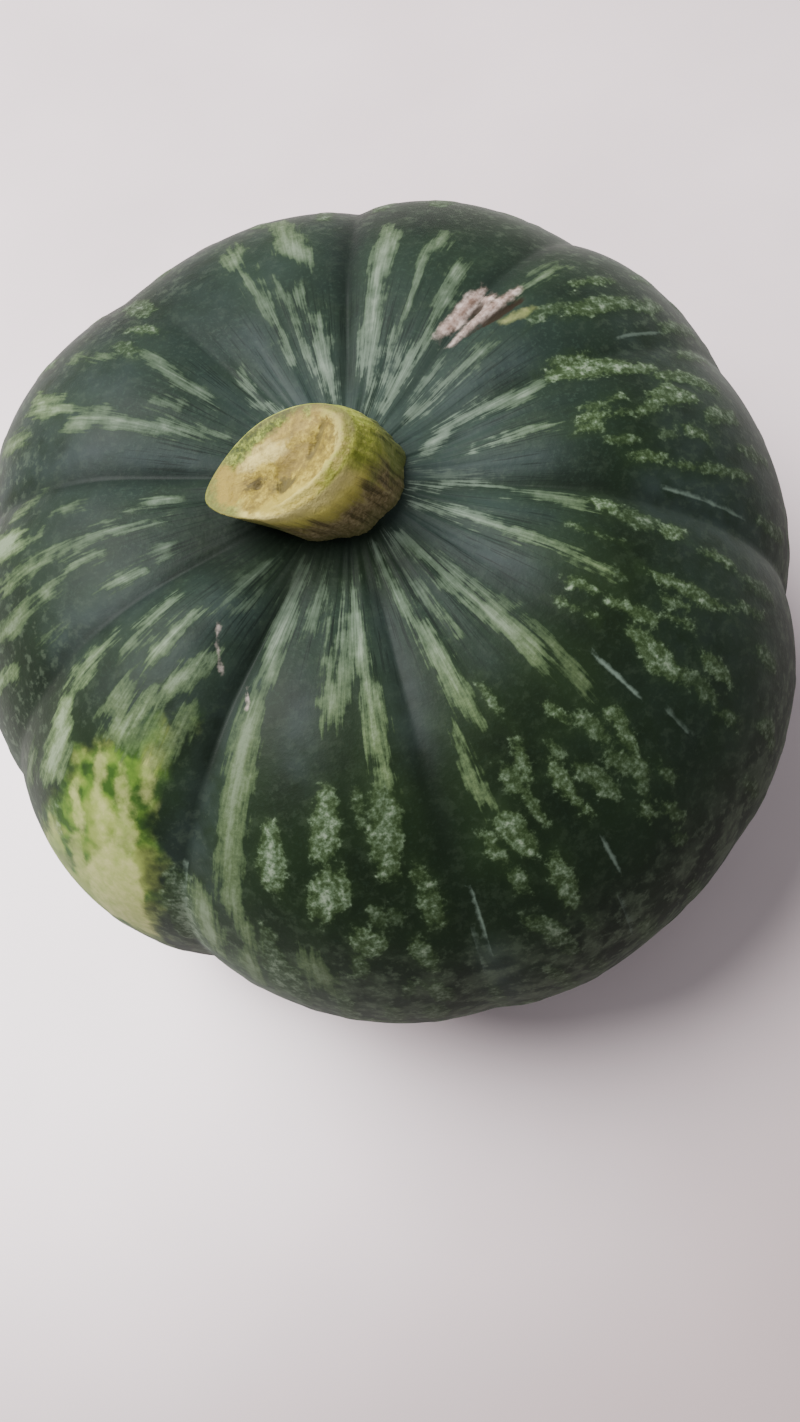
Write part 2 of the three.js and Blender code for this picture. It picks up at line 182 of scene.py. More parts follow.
LEAF_SPOTS = [
    # front, in the columns that carry on from the streaks
    (0.85, (59, 251, 2.5), (62, 251.2, 4.4), (66, 251, 4.4), (69, 250.4, 4.4), (72, 249.8, 2.5)),
    (0.55, (59, 256, 1.6), (62, 256.2, 2.4), (66, 256, 1.6)),
    (0.75, (58, 260, 3), (63, 260.2, 5.4), (69, 259.3, 5), (74.5, 259, 2.6)),
    (0.8, (66.5, 242.5, 2.4), (70, 242.6, 4.2), (75, 243, 4.8), (79, 243.2, 2.4)),
    (0.85, (72.5, 251.8, 3), (75.5, 251.4, 6), (79, 250.5, 5.6), (83, 249.5, 2.6)),
    (0.7, (72.3, 263, 2), (74.5, 263, 3.2), (76.3, 263.2, 2)),
    (0.75, (76.5, 263.4, 2.4), (80, 263.8, 3.8), (84.5, 263.8, 2.4)),
    (0.5, (79.2, 256.4, 1.6), (81.5, 256.6, 2.6), (84, 256.4, 1.6)),
    (0.35, (79.6, 258.9, 1.4), (81, 259, 2), (82.6, 259, 1.4)),
    (0.85, (82.6, 254, 1.6), (85, 254.8, 4.4), (87, 255.2, 5.2), (89.2, 255, 2.4)),
    (0.65, (88.6, 253.4, 1.8), (91.5, 253.6, 2.8), (95, 253, 1.8)),
    (0.7, (86.4, 261, 2), (88.5, 261.3, 3.2), (91, 261.4, 3), (94.5, 262, 1.8)),
    (0.5, (95, 259, 1.4), (98, 258.6, 1.8), (103, 258, 1.4)),
    (0.65, (97, 261, 2.2), (101, 262, 3.6), (106, 262.4, 2.4)),
    (0.75, (46.6, 282.6, 1.8), (49.5, 283.2, 2.8), (52.6, 283, 1.8)),
    (0.7, (60.4, 279.4, 2.2), (62.6, 279.6, 3.6), (65.4, 279.4, 2)),
    (0.75, (57.6, 283, 1.8), (60.4, 282.6, 3.2), (64, 282.2, 1.8)),
    (0.85, (66.6, 276, 2), (69, 276.8, 4), (73, 277.4, 4), (76.4, 278, 2)),
    (0.75, (70.2, 273.2, 1.8), (73, 273.5, 3), (75.6, 274, 1.8)),
    (0.7, (65, 280.6, 1.4), (68, 280.8, 2.2), (73, 281.4, 1.4)),
    (0.6, (76.6, 274.4, 1.8), (79, 275, 3.4), (82.4, 275.2, 2)),
    (0.8, (77, 280.2, 1.8), (80, 280, 3), (85, 280.2, 3.4), (90, 279.8, 1.8)),
    (0.65, (86.8, 274.6, 2), (89, 275.6, 3.8), (92.4, 276.8, 3), (95.6, 277, 2)),
    (0.55, (95.8, 277.2, 1.8), (98, 277.6, 2.6), (101, 278, 1.8)),
    (0.35, (90.4, 280.4, 1.6), (93, 281, 2.2), (97, 281.4, 1.6)),
    (0.6, (61, 287.6, 1.6), (62.6, 287.8, 2.2), (64.4, 287.8, 1.6)),
    (0.8, (63.4, 286.2, 2), (67, 286, 3), (71, 286.3, 2.8), (75.4, 287, 1.8)),
    (0.6, (66.6, 289.4, 1.8), (70, 290, 3), (74, 291, 3), (76.4, 291.6, 1.6)),
    (0.85, (55.6, 290.7, 1.6), (58.2, 291.3, 2.8), (61, 291.8, 1.6)),
    (0.6, (60.6, 294, 2), (64, 294.6, 3.2), (68.4, 294.8, 2.2)),
    (0.75, (63.4, 298, 2.2), (66.4, 298.6, 3.6), (69, 297.6, 3), (72.4, 297, 1.8)),
    (0.5, (68.8, 293.8, 2), (71, 294.4, 3), (73.6, 294.8, 2)),
    (0.6, (72.8, 296, 1.8), (75, 296.3, 3), (77.6, 295.6, 1.8)),
    (0.45, (77, 294.6, 1.6), (78.8, 294.8, 2.2), (81, 295, 1.6)),
    (0.5, (77.6, 298.4, 1.6), (79.4, 298.6, 2.2), (81.6, 298.8, 1.6)),
    (0.65, (79.8, 293.4, 1.6), (81.6, 293.7, 2.2), (83.6, 293.8, 1.6)),
    (0.65, (82.4, 295.6, 1.6), (85, 296.4, 2.4), (88.4, 297, 1.6)),
    (0.55, (88.8, 294.8, 1.6), (90.6, 295.2, 2.2), (92.8, 295.6, 1.6)),
    # front right
    (0.8, (45.8, 307.2, 1.4), (49, 307.8, 2.2), (54, 308.7, 1.4)),
    (0.85, (45.4, 312, 1.8), (48, 312.3, 3), (51.6, 312.6, 1.8)),
    (0.35, (52, 317.6, 1.6), (54, 318, 2.4), (56, 318, 1.6)),
    (0.75, (54.6, 312.4, 1.8), (57.6, 313.2, 3), (60.4, 313.6, 3), (64, 314, 1.6)),
    (0.75, (59, 309.8, 2), (62.6, 309.9, 3.6), (67, 309.2, 4.6), (72, 309.6, 2.6)),
    (0.45, (71.6, 310, 2), (75.6, 310.4, 3), (80, 310.6, 2)),
    (0.7, (73, 314, 1.6), (76, 314.2, 2.6), (81, 313.8, 1.8)),
    (0.5, (80.6, 309.8, 1.8), (83, 310.2, 2.6), (86, 310.6, 1.6)),
    (0.65, (64.6, 316, 1.4), (67, 316.3, 1.9), (70, 316.6, 1.2)),
    (0.65, (63.2, 318, 1.4), (65.6, 318.5, 1.9), (68.4, 319, 1.2)),
    (0.8, (57.8, 321, 1.4), (62, 321.4, 2), (68, 321.6, 2.6), (72, 322, 2.4), (76.4, 322.8, 1.4)),
    (0.65, (43.6, 324.8, 1.1), (48, 324.3, 1.6), (54, 324.6, 1.1)),
    (0.85, (47, 333.6, 1.8), (49, 333, 3.6), (50.8, 332.8, 4), (52.4, 333, 2.4)),
    (0.45, (52.4, 331.6, 3), (56, 331.4, 5), (60.4, 331.2, 3.4)),
    (0.85, (60.8, 330.6, 2.2), (63, 331.1, 4.2), (65.4, 331.6, 2.2)),
    (0.65, (69, 329.8, 1.6), (72.6, 330, 2.4), (77, 330.4, 1.6)),
    (0.5, (78, 324.6, 1.4), (82, 325.2, 2), (86, 326, 1.4)),
    (0.4, (80, 329, 2), (84, 329.6, 2.8), (89, 330, 2)),
    (0.55, (84, 320.6, 1.8), (87, 321, 2.8), (92, 321, 1.8)),
    (0.6, (91.6, 313.4, 1.8), (95, 313.8, 3), (101, 313.4, 2)),
    (0.5, (97, 307.4, 1.4), (100, 307.6, 2), (105, 308, 1.4)),
    # right
    (0.75, (45, 351, 1.3), (47.4, 351.3, 2), (49.8, 351.2, 1.2)),
    (0.85, (46.6, 353.6, 1.6), (49.6, 354, 2.4), (53, 353.8, 1.4)),
    (0.6, (46.4, 357, 1.6), (49, 356.6, 2.8), (52, 356.4, 1.8)),
    (0.55, (52.8, 354.6, 1.4), (54.4, 354.4, 2.2), (56, 354.4, 1.4)),
    (0.6, (53.2, 358, 1.2), (54.6, 358.4, 2), (56.2, 358.6, 1.2)),
    (0.6, (50.8, 348, 1.3), (53.4, 348.4, 2.4), (56.6, 348.4, 1.4)),
    (0.75, (55.4, 344.6, 1.8), (58.6, 345, 3.4), (62, 345.2, 2)),
    (0.65, (62.6, 344.4, 1.4), (66, 344.7, 2.2), (69.4, 344.8, 1.4)),
    (0.4, (61.8, 349.8, 1.4), (63.4, 350, 2.2), (65.2, 350, 1.4)),
    (0.65, (65.6, 352, 1.4), (68, 351.6, 2.6), (72.6, 350.8, 1.6)),
    (0.65, (57.8, 355, 1.8), (60, 355.4, 3), (63, 356, 2)),
    (0.75, (61, 358, 2.4), (64.4, 358.4, 4.6), (68.4, 358.6, 3.8), (72.4, 358.4, 2)),
    (0.6, (70.6, 345, 1.4), (75, 345.7, 2), (83, 346.8, 1.4)),
    (0.55, (73, 355, 2), (77, 356, 3.4), (82, 357, 2)),
    (0.72, (43.6, 369.4, 3), (48, 369, 6), (53, 368, 6), (58, 366.6, 4.6), (61, 365.6, 2.4)),
    (0.6, (46, 372.6, 1.1), (49, 372.2, 1.6), (53, 371.4, 1.1)),
    (0.65, (60, 365.2, 1.6), (63, 365.2, 2.8), (66, 365.4, 1.6)),
    (0.7, (64, 363, 1.8), (68, 363.2, 2.8), (74, 362.6, 3), (80, 361.6, 2)),
    (0.65, (55.6, 382.4, 2), (59, 381.4, 4.2), (64, 380.8, 4), (70, 380.4, 2)),
    (0.5, (70.6, 379, 1.8), (74, 379, 3), (79, 379.4, 2)),
    (0.7, (61.6, 387.4, 1.3), (66, 386.6, 2), (71.6, 385.8, 1.4)),
    (0.45, (47.6, 385.4, 1.8), (51, 385, 3), (55.4, 384.2, 1.8)),
    (0.5, (74, 368.6, 1.6), (79, 369, 2.6), (86, 369.6, 1.8)),
    (0.5, (75, 374.6, 1.6), (81, 375, 2.8), (88, 375.4, 1.8)),
    (0.5, (80, 351, 1.6), (85, 351.4, 2.6), (92, 352, 1.8)),
    (0.5, (85, 341, 1.6), (90, 341.4, 2.6), (97, 342, 1.8)),
    (0.45, (80, 386, 1.6), (85, 386.4, 2.8), (90, 387, 1.8)),
    # back
    (0.6, (53.5, 121.3, 1.8), (57, 122.3, 3), (60, 123.2, 1.8)),
    (0.45, (51.5, 128.5, 2.4), (56, 128, 3.4), (58, 127.6, 2)),
    (0.5, (62, 118, 3), (67, 118, 4.4), (72, 118, 3)),
    # beside the yellow patch
    (0.5, (85, 208.4, 2), (88, 209.3, 3), (91, 210, 2)),
    (0.5, (84, 228.4, 3), (92, 229, 6), (106, 230, 5)),
    (0.45, (86, 242, 2), (94, 242.4, 4), (108, 243, 4)),
    # low front
    (0.6, (103, 250.6, 1.6), (110, 250, 2.6), (118, 249.6, 2.4), (124, 249.4, 1.6)),
    (0.55, (105, 255.6, 1.6), (112, 255.4, 2.8), (121, 255.4, 1.8)),
    (0.6, (106, 260.6, 2), (111, 260.8, 3.6), (118, 260.4, 2.4)),
    (0.5, (104, 268, 1.4), (112, 268.2, 2.4), (122, 268.4, 1.8)),
    (0.6, (102, 275, 1.4), (108, 276, 2.4), (116, 276.8, 2.6), (122, 277, 1.6)),
    (0.45, (106, 280, 1.6), (112, 280.4, 2.6), (120, 281, 1.8)),
    (0.5, (103, 287, 1.6), (110, 287.6, 2.8), (119, 288, 2)),
    (0.5, (105, 294.6, 1.6), (111, 295.2, 2.6), (119, 296, 1.8)),
    (0.45, (96, 245, 1.6), (104, 244.6, 3), (114, 244.4, 2)),
]
# The yellow patch where the fruit lay on the ground, and the cream blotches: in it, and one
# beside the scar.
GROUND_YELLOW = [
    (1.0, (60, 221, 3), (66, 218.4, 7), (72, 216.4, 11), (80, 216.6, 14.5), (88, 216.6, 17),
     (96, 215.4, 18), (112, 214.4, 17)),
]
GROUND_CREAM = [
    (0.55, (69, 213.2, 1.6), (71.5, 213.8, 2.8), (76, 215, 2.4), (78.5, 215.2, 1.4)),
    (0.6, (69.5, 217.6, 1.6), (72, 218.2, 3), (75, 219, 2.6), (77, 219.3, 1.6)),
    (0.5, (64.5, 220.6, 1.6), (67, 221, 2.6), (70.5, 221.6, 2), (72, 221.8, 1.4)),
    (0.8, (76.5, 216.6, 1.6), (79, 216.9, 2.8), (83.5, 217.4, 2.4), (85.5, 217.6, 1.4)),
    (0.65, (76.5, 220.6, 2), (79, 220.8, 4), (83, 220.9, 3.4), (85, 221, 2)),
    (1.0, (83.5, 219.8, 3), (87, 220, 7), (94, 219.6, 9), (100, 219.4, 9), (110, 220, 8)),
    (0.7, (78, 211, 2), (80.5, 211.8, 3), (83.5, 213, 2.6), (85, 213.4, 1.4)),
    (0.5, (88, 213.4, 1.6), (92, 213.8, 3), (99, 214.4, 2)),
    (0.35, (90, 209, 3), (98, 209, 6), (110, 209, 7)),
    (0.4, (42.8, 29.8, 1.4), (44.6, 28.8, 3.4), (47, 28, 3.6), (49.6, 27.4, 1.4)),
]
# Thin pale lines: strength, angle, from, to.
PALE_LINES = [
    (0.6, 268.8, 79, 93), (0.35, 267.8, 87, 98), (0.55, 286.9, 80, 87), (0.5, 285.5, 93, 105),
    (0.6, 303.1, 57, 67), (0.35, 304.7, 73, 78),
    (0.5, 340, 62, 80), (0.5, 229.2, 82, 93), (0.35, 373.5, 62, 73),
]
SCAR_PALE = [
    (1.0, (35.2, 43.4, 1.4), (36.8, 42.8, 4.6), (38.6, 41.8, 4.6), (42, 41.6, 3),
     (45.8, 41.2, 2.8), (48.6, 41, 1)),
    (1.0, (34.6, 37.6, 1), (38.8, 36.8, 2.2), (41.8, 35.9, 2.2), (45, 35.4, 3.4),
     (48.5, 34.3, 2.6), (51.8, 33.6, 1.2)),
    (1.0, (45.2, 38, 1), (46.6, 38, 3), (47.8, 37.6, 1.2)),
]
SCAR_DARK = [
    (1.0, (37.6, 35.4, 0.8), (40.5, 33.8, 1.6), (43.8, 32.6, 2.4), (46.8, 31.8, 2), (50, 31, 1)),
    (1.0, (40.6, 38.6, 0.8), (43.6, 38.5, 1.8), (45.6, 38.4, 0.8)),
]
SCRATCHES = [
    (1.0, (39.4, 219, 0.4), (42, 221.6, 0.7), (45.2, 224.8, 0.4)),
    (0.9, (46.4, 231.2, 0.4), (47.6, 232.4, 0.8), (49.2, 233.6, 0.4)),
]
# Waxy bloom with painted sheen and haze, blue-grey near the stem: strength, angle, half width,
# from, to.
BLOOM_AND_SHEEN = [
    (0.9, 308.5, 7, 12, 44), (0.8, 345, 5.5, 14, 44), (0.9, 267.5, 5, 24, 58),
    (0.85, 193, 8, 40, 70), (0.8, 103, 8, 14, 44), (0.8, 74.5, 4.5, 12, 34),
    (0.9, 154, 5, 26, 66), (0.7, 246, 4, 40, 62), (0.6, 2, 3, 14, 40), (0.7, 20, 6, 20, 46),
    (0.5, 227, 4, 30, 60), (0.5, 124, 5, 20, 40), (0.5, 326, 3, 20, 44), (0.4, 287, 4, 20, 50),
    (0.75, 150, 28, 46, 92), (0.5, 95, 26, 46, 90), (0.9, 338, 8, 56, 96),
    (0.9, 216, 9, 30, 68), (0.95, 231, 5, 40, 94), (0.9, 269, 2.5, 90, 120),
    (0.6, 348, 40, 60, 118),
]


# ======== shader maths ========

def paint(code):
    """The linear colour of a six-digit screen colour."""
    parts = [int(code[at:at + 2], 16) / 255 for at in (0, 2, 4)]
    return [p / 12.92 if p <= 0.04045 else ((p + 0.055) / 1.055) ** 2.4 for p in parts] + [1.0]


class Wire:
    """What comes out of one node's socket. Arithmetic on wires adds Math nodes."""

    def __init__(self, finish, socket):
        self.finish = finish
        self.socket = socket

    def _math(self, operation, *terms):
        settings = {"operation": operation}
        return self.finish.node("ShaderNodeMath", settings, dict(enumerate(terms)))

    def __add__(self, other):
        return self._math("ADD", self, other)

    def __sub__(self, other):
        return self._math("SUBTRACT", self, other)

    def __rsub__(self, other):
        return self._math("SUBTRACT", other, self)

    def __mul__(self, other):
        return self._math("MULTIPLY", self, other)

    def __truediv__(self, other):
        return self._math("DIVIDE", self, other)

    def __neg__(self):
        return self * -1.0

    def __abs__(self):
        return self._math("ABSOLUTE", self)

    __radd__ = __add__
    __rmul__ = __mul__

    def most(self, other):
        return self._math("MAXIMUM", self, other)

    def step(self, low, high):
        """0 below low, 1 above high, smooth in between; the other way if low is above high."""
        return self.finish.node(
            "ShaderNodeMapRange", {"interpolation_type": "SMOOTHSTEP"}, {0: self, 1: low, 2: high},
        )

    def frayed(self, *noises):
        """Made uneven by noises, each given with how far it moves the value from end to end."""
        value = self
        for wire, reach in noises:
            value = value + (wire - 0.5) * reach
        return value

    def stretch(self, by):
        """A vector scaled along its axes."""
        settings = {"operation": "MULTIPLY"}
        return self.finish.node("ShaderNodeVectorMath", settings, {0: self, 1: by})

    def part(self, axis):
        """One part of a vector, 0 to 2."""
        return self.finish.node("ShaderNodeSeparateXYZ", {}, {0: self}, output=axis)


class Finish:
    """A material being made from nodes, with its own named ramps and tints."""

    def __init__(self, name, ramps, tints):
        self.ramps = ramps
        self.tints = tints
        self.material = bpy.data.materials.new(name)
        self.material.use_nodes = True
        self.tree = self.material.node_tree
        self.shader = next(n for n in self.tree.nodes if n.type == "BSDF_PRINCIPLED")

    def node(self, kind, settings, inputs, output=0):
        """Adds a node with its settings made first, then its sockets' values or wires."""
        node = self.tree.nodes.new(kind)
        for name, value in settings.items():
            if name == "stops":
                self._set_stops(node.color_ramp, value)
            else:
                setattr(node, name, value)
        for key, value in inputs.items():
            self._feed(node.inputs[key], value)
        return Wire(self, node.outputs[output])

    def _feed(self, socket, value):
        if isinstance(value, Wire):
            self.tree.links.new(value.socket, socket)
        else:
            socket.default_value = value

    @staticmethod
    def _set_stops(ramp, stops):
        while len(ramp.elements) < len(stops):
            ramp.elements.new(0.5)
        for element, (position, code) in zip(ramp.elements, stops.items()):
            element.position = position
            element.color = paint(code)

    def place(self):
        """Object coordinates in millimetres."""
        metres = self.node("ShaderNodeTexCoord", {}, {}, output="Object")
        return metres.stretch((1 / MM, 1 / MM, 1 / MM))

    def attribute(self, name, output="Fac"):
        return self.node("ShaderNodeAttribute", {"attribute_name": name}, {}, output=output)

    def vector(self, name):
        return self.attribute(name, output="Vector")

    def noise(self, where, scale, detail, roughness):
        return self.node(
            "ShaderNodeTexNoise", {},
            {"Vector": where, "Scale": scale, "Detail": detail, "Roughness": roughness},
        )

    def ramp(self, name, value):
        """The colour that the named ramp gives to the value."""
        return self.node("ShaderNodeValToRGB", {"stops": self.ramps[name]}, {0: value})

    def mix(self, base, over, share):
        """Colour over laid on colour base by share."""
        return self.node(
            "ShaderNodeMix", {"data_type": "RGBA", "blend_type": "MIX", "clamp_factor": True},
            {0: share, 6: base, 7: over}, output=2,
        )

    def tint(self, base, name, share):
        """The named tint laid on colour base, at its full strength where share is 1."""
        strength, code = self.tints[name]
        return self.mix(base, paint(code), share * strength)

    def bump(self, height, strength, reach):
        inputs = {"Height": height, "Strength": strength, "Distance": reach}
        return self.node("ShaderNodeBump", {}, inputs)

    def wear(self, **sockets):
        """Feeds the shader's own sockets and gives the material; underscores are spaces."""
        for name, value in sockets.items():
            self._feed(self.shader.inputs[name.replace("_", " ")], value)
        return self.material


# ======== small tools ========

def smoothstep(value, low, high):
    share = np.clip((value - low) / (high - low), 0, 1)
    return share * share * (3 - 2 * share)


def window(value, low, high, edge):
    """1 between low and high, with soft edges outside them."""
    return smoothstep(value, low - edge, low) * (1 - smoothstep(value, high, high + edge))


def turn_between(angle, middle):
    """Degrees from middle to angle the short way, -180 to 180."""
    return (angle - middle + 180) % 360 - 180


def facing(angle, side):
    """1 on that side, 0 a quarter turn from it and -1 opposite, from degrees."""
    return np.cos(np.radians(angle - side))


def round_axis(turn, radius, along):
    """Points at a turn in radians and a radius round the Z axis, and that far along it."""
    along = np.broadcast_to(along, np.shape(turn))
    return np.stack([np.cos(turn) * radius, np.sin(turn) * radius, along], axis=-1)


def lumps(points, *layers):
    """Smooth unevenness in mm, from layers of a lump size, an offset and a height."""
    return sum(
        np.array([noise.noise(Vector(p)) for p in points / size + offset]) * height
        for size, offset, height in layers)


def ridges(turn, along, *layers):
    """Unevenness drawn out along a piece, from layers of closeness, slant, offset and height."""
    return sum(
        lumps(round_axis(turn, close, along * slant), (1.0, offset, height))
        for close, slant, offset, height in layers)


def read_points(mesh, kind="co"):
    """Each point's place, or its normal."""
    flat = np.empty(len(mesh.vertices) * 3)
    mesh.vertices.foreach_get(kind, flat)
    return flat.reshape(-1, 3)


def set_points(mesh, points):
    mesh.vertices.foreach_set("co", np.ascontiguousarray(points, float).ravel())
    mesh.update()


def add_attribute(mesh, name, *parts):
    """Gives each point a number, or the first two or three parts of a vector."""
    if len(parts) == 1:
        values = np.asarray(parts[0], float)
        kind, field = "FLOAT", "value"
    else:
        values = np.zeros((len(mesh.vertices), 3))
        values[:, :len(parts)] = np.stack(parts, axis=-1)
        kind, field = "FLOAT_VECTOR", "vector"
    mesh.attributes.new(name, kind, "POINT").data.foreach_set(field, values.ravel())


def added(operator, **settings):
    """The object that an operator adds, with nothing else selected."""
    bpy.ops.object.select_all(action="DESELECT")
    operator(**settings)
    return bpy.context.object


def finish_piece(piece, name, material, node):
    """Names and smooths a piece, and sets it on its body in place of a CAD node."""
    piece.name = name
    piece.data.name = name
    bpy.ops.object.select_all(action="DESELECT")
    piece.select_set(True)
    bpy.context.view_layer.objects.active = piece
    bpy.ops.object.shade_smooth()
    piece.data.materials.append(material)
    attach(piece, "root")
    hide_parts(node)


# ======== camera ========

CAMERA_PLACE = (-0.00430, -0.11710, 0.28330)
CAMERA_PITCH, CAMERA_ROLL = 21.56, -17.27
CAMERA_LENS, SENSOR_WIDTH = 29.11, 36
CLIP_START = 0.01

camera = added(bpy.ops.object.camera_add, location=CAMERA_PLACE)
pitch = Matrix.Rotation(math.radians(CAMERA_PITCH), 4, "X")
roll = Matrix.Rotation(math.radians(CAMERA_ROLL), 4, "Z")
camera.matrix_world = Matrix.Translation(CAMERA_PLACE) @ pitch @ roll
camera.data.sensor_fit = "AUTO"
camera.data.sensor_width = SENSOR_WIDTH
camera.data.lens = CAMERA_LENS
camera.data.clip_start = CLIP_START
bpy.context.scene.camera = camera


# ======== rind form ========

def rib_span(index):
    """The angle where a rib starts, and the degrees that it takes up."""
    start = FURROWS[index, 0]
    return start, (FURROWS[(index + 1) % RIBS, 0] - start) % 360


def rib_depth(angle):
    """How deep the ribbed surface lies below the plain one at each angle, in mm."""
    turned = (angle - FURROWS[0, 0]) % 360
    starts = np.append(FURROWS[:, 0] - FURROWS[0, 0], 360)
    index = np.clip(np.searchsorted(starts, turned, side="right") - 1, 0, RIBS - 1)
    after = (index + 1) % RIBS
    share = (turned - starts[index]) / (starts[index + 1] - starts[index])
    across = np.sin(np.pi * share)
    softened = (across ** 2 + CREASE_SOFTNESS ** 2) ** (RIB_ROUNDNESS / 2)
    valley = (1 - softened) / (1 - CREASE_SOFTNESS ** RIB_ROUNDNESS)
    depth = FURROWS[index, 1] * (1 - share) + FURROWS[after, 1] * share
    return depth * valley - FURROWS[index, 2] * across


def rind_profile(tilt):
    """Shares of the radius and half height, squareness and half height of the plain form."""
    above = tilt >= 0
    squareness = np.where(above, CROWN_SQUARENESS, BASE_SQUARENESS)
    half_height = np.where(above, CROWN_HEIGHT, BASE_HEIGHT)
    across = np.maximum(np.cos(tilt), 0) ** (2 / squareness)
    along = np.abs(np.sin(tilt)) ** (2 / squareness)
    return across, along, squareness, half_height


def dips(radius, height, above):
    """The height after the seat's dip, the blossom end's dip and the flat the fruit rests on."""
    seat = DIP_DEPTH * np.exp(-((np.maximum(radius - SEAT_RADIUS, 0) / DIP_WIDTH) ** 2))
    blossom = BLOSSOM_DIP_DEPTH * np.exp(-((radius / BLOSSOM_DIP_WIDTH) ** 2))
    return np.maximum(height + np.where(above, -seat, blossom), REST_CUT - BASE_HEIGHT)


def rind_surface(angle, tilt):
    """The rind's points in mm, from degrees round and the tilt up from the girth in radians."""
    across, along, squareness, half_height = rind_profile(tilt)
    out = across ** (squareness - 1) / MEAN_RADIUS
    up = np.sign(tilt) * along ** (squareness - 1) / half_height
    steepness = np.hypot(out, up)
    plain = MEAN_RADIUS * across
    sunk = rib_depth(angle) * smoothstep(plain, *FURROW_FADE)
    radius = np.maximum(plain - sunk * out / steepness, 0)
    height = np.sign(tilt) * half_height * along - sunk * up / steepness
    height = dips(radius, height, tilt >= 0)
    lean = np.maximum(height / CROWN_HEIGHT, 0) ** CROWN_LEAN_CURVE
    turn = np.radians(angle)
    bulge = sum(share * np.cos(count * (turn - np.radians(at))) for count, at, share in BULGES)
    points = round_axis(turn, radius * (1 + bulge), height + BASE_HEIGHT - REST_CUT)
    points[:, :2] += np.outer(lean, CROWN_LEAN) - FRUIT_MIDDLE
    return points


def profile_lengths():
    """Tilts from crown to blossom end, and the plain profile's length and radius at each."""
    tilt = np.linspace(math.pi / 2, -math.pi / 2, PROFILE_STEPS)
    across, along, _, half_height = rind_profile(tilt)
    radius = MEAN_RADIUS * across
    height = dips(radius, np.sign(tilt) * half_height * along, tilt >= 0)
    steps = np.hypot(np.diff(radius), np.diff(height))
    return tilt, np.concatenate([[0], np.cumsum(steps)]), radius


PROFILE_TILT, PROFILE_LENGTH, PROFILE_RADIUS = profile_lengths()
RIND_LENGTH = PROFILE_LENGTH[-1]
GIRTH_LENGTH = np.interp(0, -PROFILE_TILT, PROFILE_LENGTH)


def ball_to_rind(points):
    """Where points of a unit ball go on the rind: degrees round, and mm from the stem end."""
    share = (np.arctan2(points[:, 1], points[:, 0]) / (2 * np.pi)) % 1 * RIBS
    column = np.round(share * COLUMNS / RIBS) % COLUMNS
    index, along = np.divmod(column / COLUMNS * RIBS, 1)
    start, span = rib_span(index.astype(int))
    row = np.arccos(np.clip(points[:, 2], -1, 1)) / np.pi
    upper = row / GIRTH_ROW_SHARE * GIRTH_LENGTH
    lower_share = (row - GIRTH_ROW_SHARE) / (1 - GIRTH_ROW_SHARE)
    lower = GIRTH_LENGTH + lower_share * (RIND_LENGTH - GIRTH_LENGTH)
    return (start + span * along) % 360, np.where(row < GIRTH_ROW_SHARE, upper, lower)


# ======== rind markings ========

MARK_BLEND = 0.4                # mm over which neighbouring marks run together
MARK_END_SLOPE = 0.6            # a mark's ends are blunter than its sides
MARK_END_REACH = 0.2
MARK_COUNTS = (-12, 5)          # mm inside a mark, beyond which it blends no further
MARK_RANGE = (-8, 4)            # mm inside the marks, beyond which it makes no difference
FAINTEST_MARK = 1e-7
LINE_HALF_WIDTH, LINE_END_SLOPE = 0.35, 0.2
OUTSIDE_LINES = -4.0
BLOOM_AND_SHEEN_EDGE = 10                 # mm over which the bloom and its painted sheen fade up and down the rind
VALLEY_HALF_WIDTH, DEEP_FURROW = 2.4, 2.6   # mm; a furrow that deep gets the darkest painted shade

# Spots on the sides that turn away from the front, and streaks round the blossom end. They run
# down columns, at shares of a rib; where there are two values, each mark draws one between them.
SPOTS_SEED = 41
SPOT_COLUMNS, SPOT_SHIFT = (0.16, 0.36, 0.64, 0.84), (-0.05, 0.05)
SPOTS_START, SPOTS_START_SWING, SPOTS_END = 92, 22, 178
SPOT_LENGTH, SPOT_WIDTH, SPOT_GAP = (5, 15), (2.2, 5.0), (2, 9)
SPOT_STRENGTH = (0.45, 0.9)
STREAK_COLUMNS, STREAK_SHIFT = (0.28, 0.72), (-0.06, 0.06)
STREAK_START, STREAK_END, STREAK_USUAL_END = (176, 192), (212, 222), 214
STREAK_WIDTH, STREAK_STRENGTH = (4, 9), (0.5, 0.9)


def arc_from(angle, middle, radius):
    """The distance round the rind from that angle, in mm."""
    return np.abs(turn_between(angle, middle)) * np.pi / 180 * radius


def mark_field(marks, angle, down, radius):
    """How far inside the marks each point lies, in mm (negative outside), and their strength."""
    weight = np.full(len(angle), FAINTEST_MARK)
    strength = np.zeros(len(angle))
    for power, *line in marks:
        far, across, width = np.array(line, float).T
        half = np.radians(np.interp(down, far, width) / 2) * radius
        inside = half - arc_from(angle, np.interp(down, far, across), radius)
        ends = np.minimum(down - far[0], far[-1] - down) * MARK_END_SLOPE + MARK_END_REACH
        share = np.exp(np.clip(np.minimum(inside, ends), *MARK_COUNTS) / MARK_BLEND)
        weight += share
        strength += share * power
    return np.clip(MARK_BLEND * np.log(weight), *MARK_RANGE), strength / weight


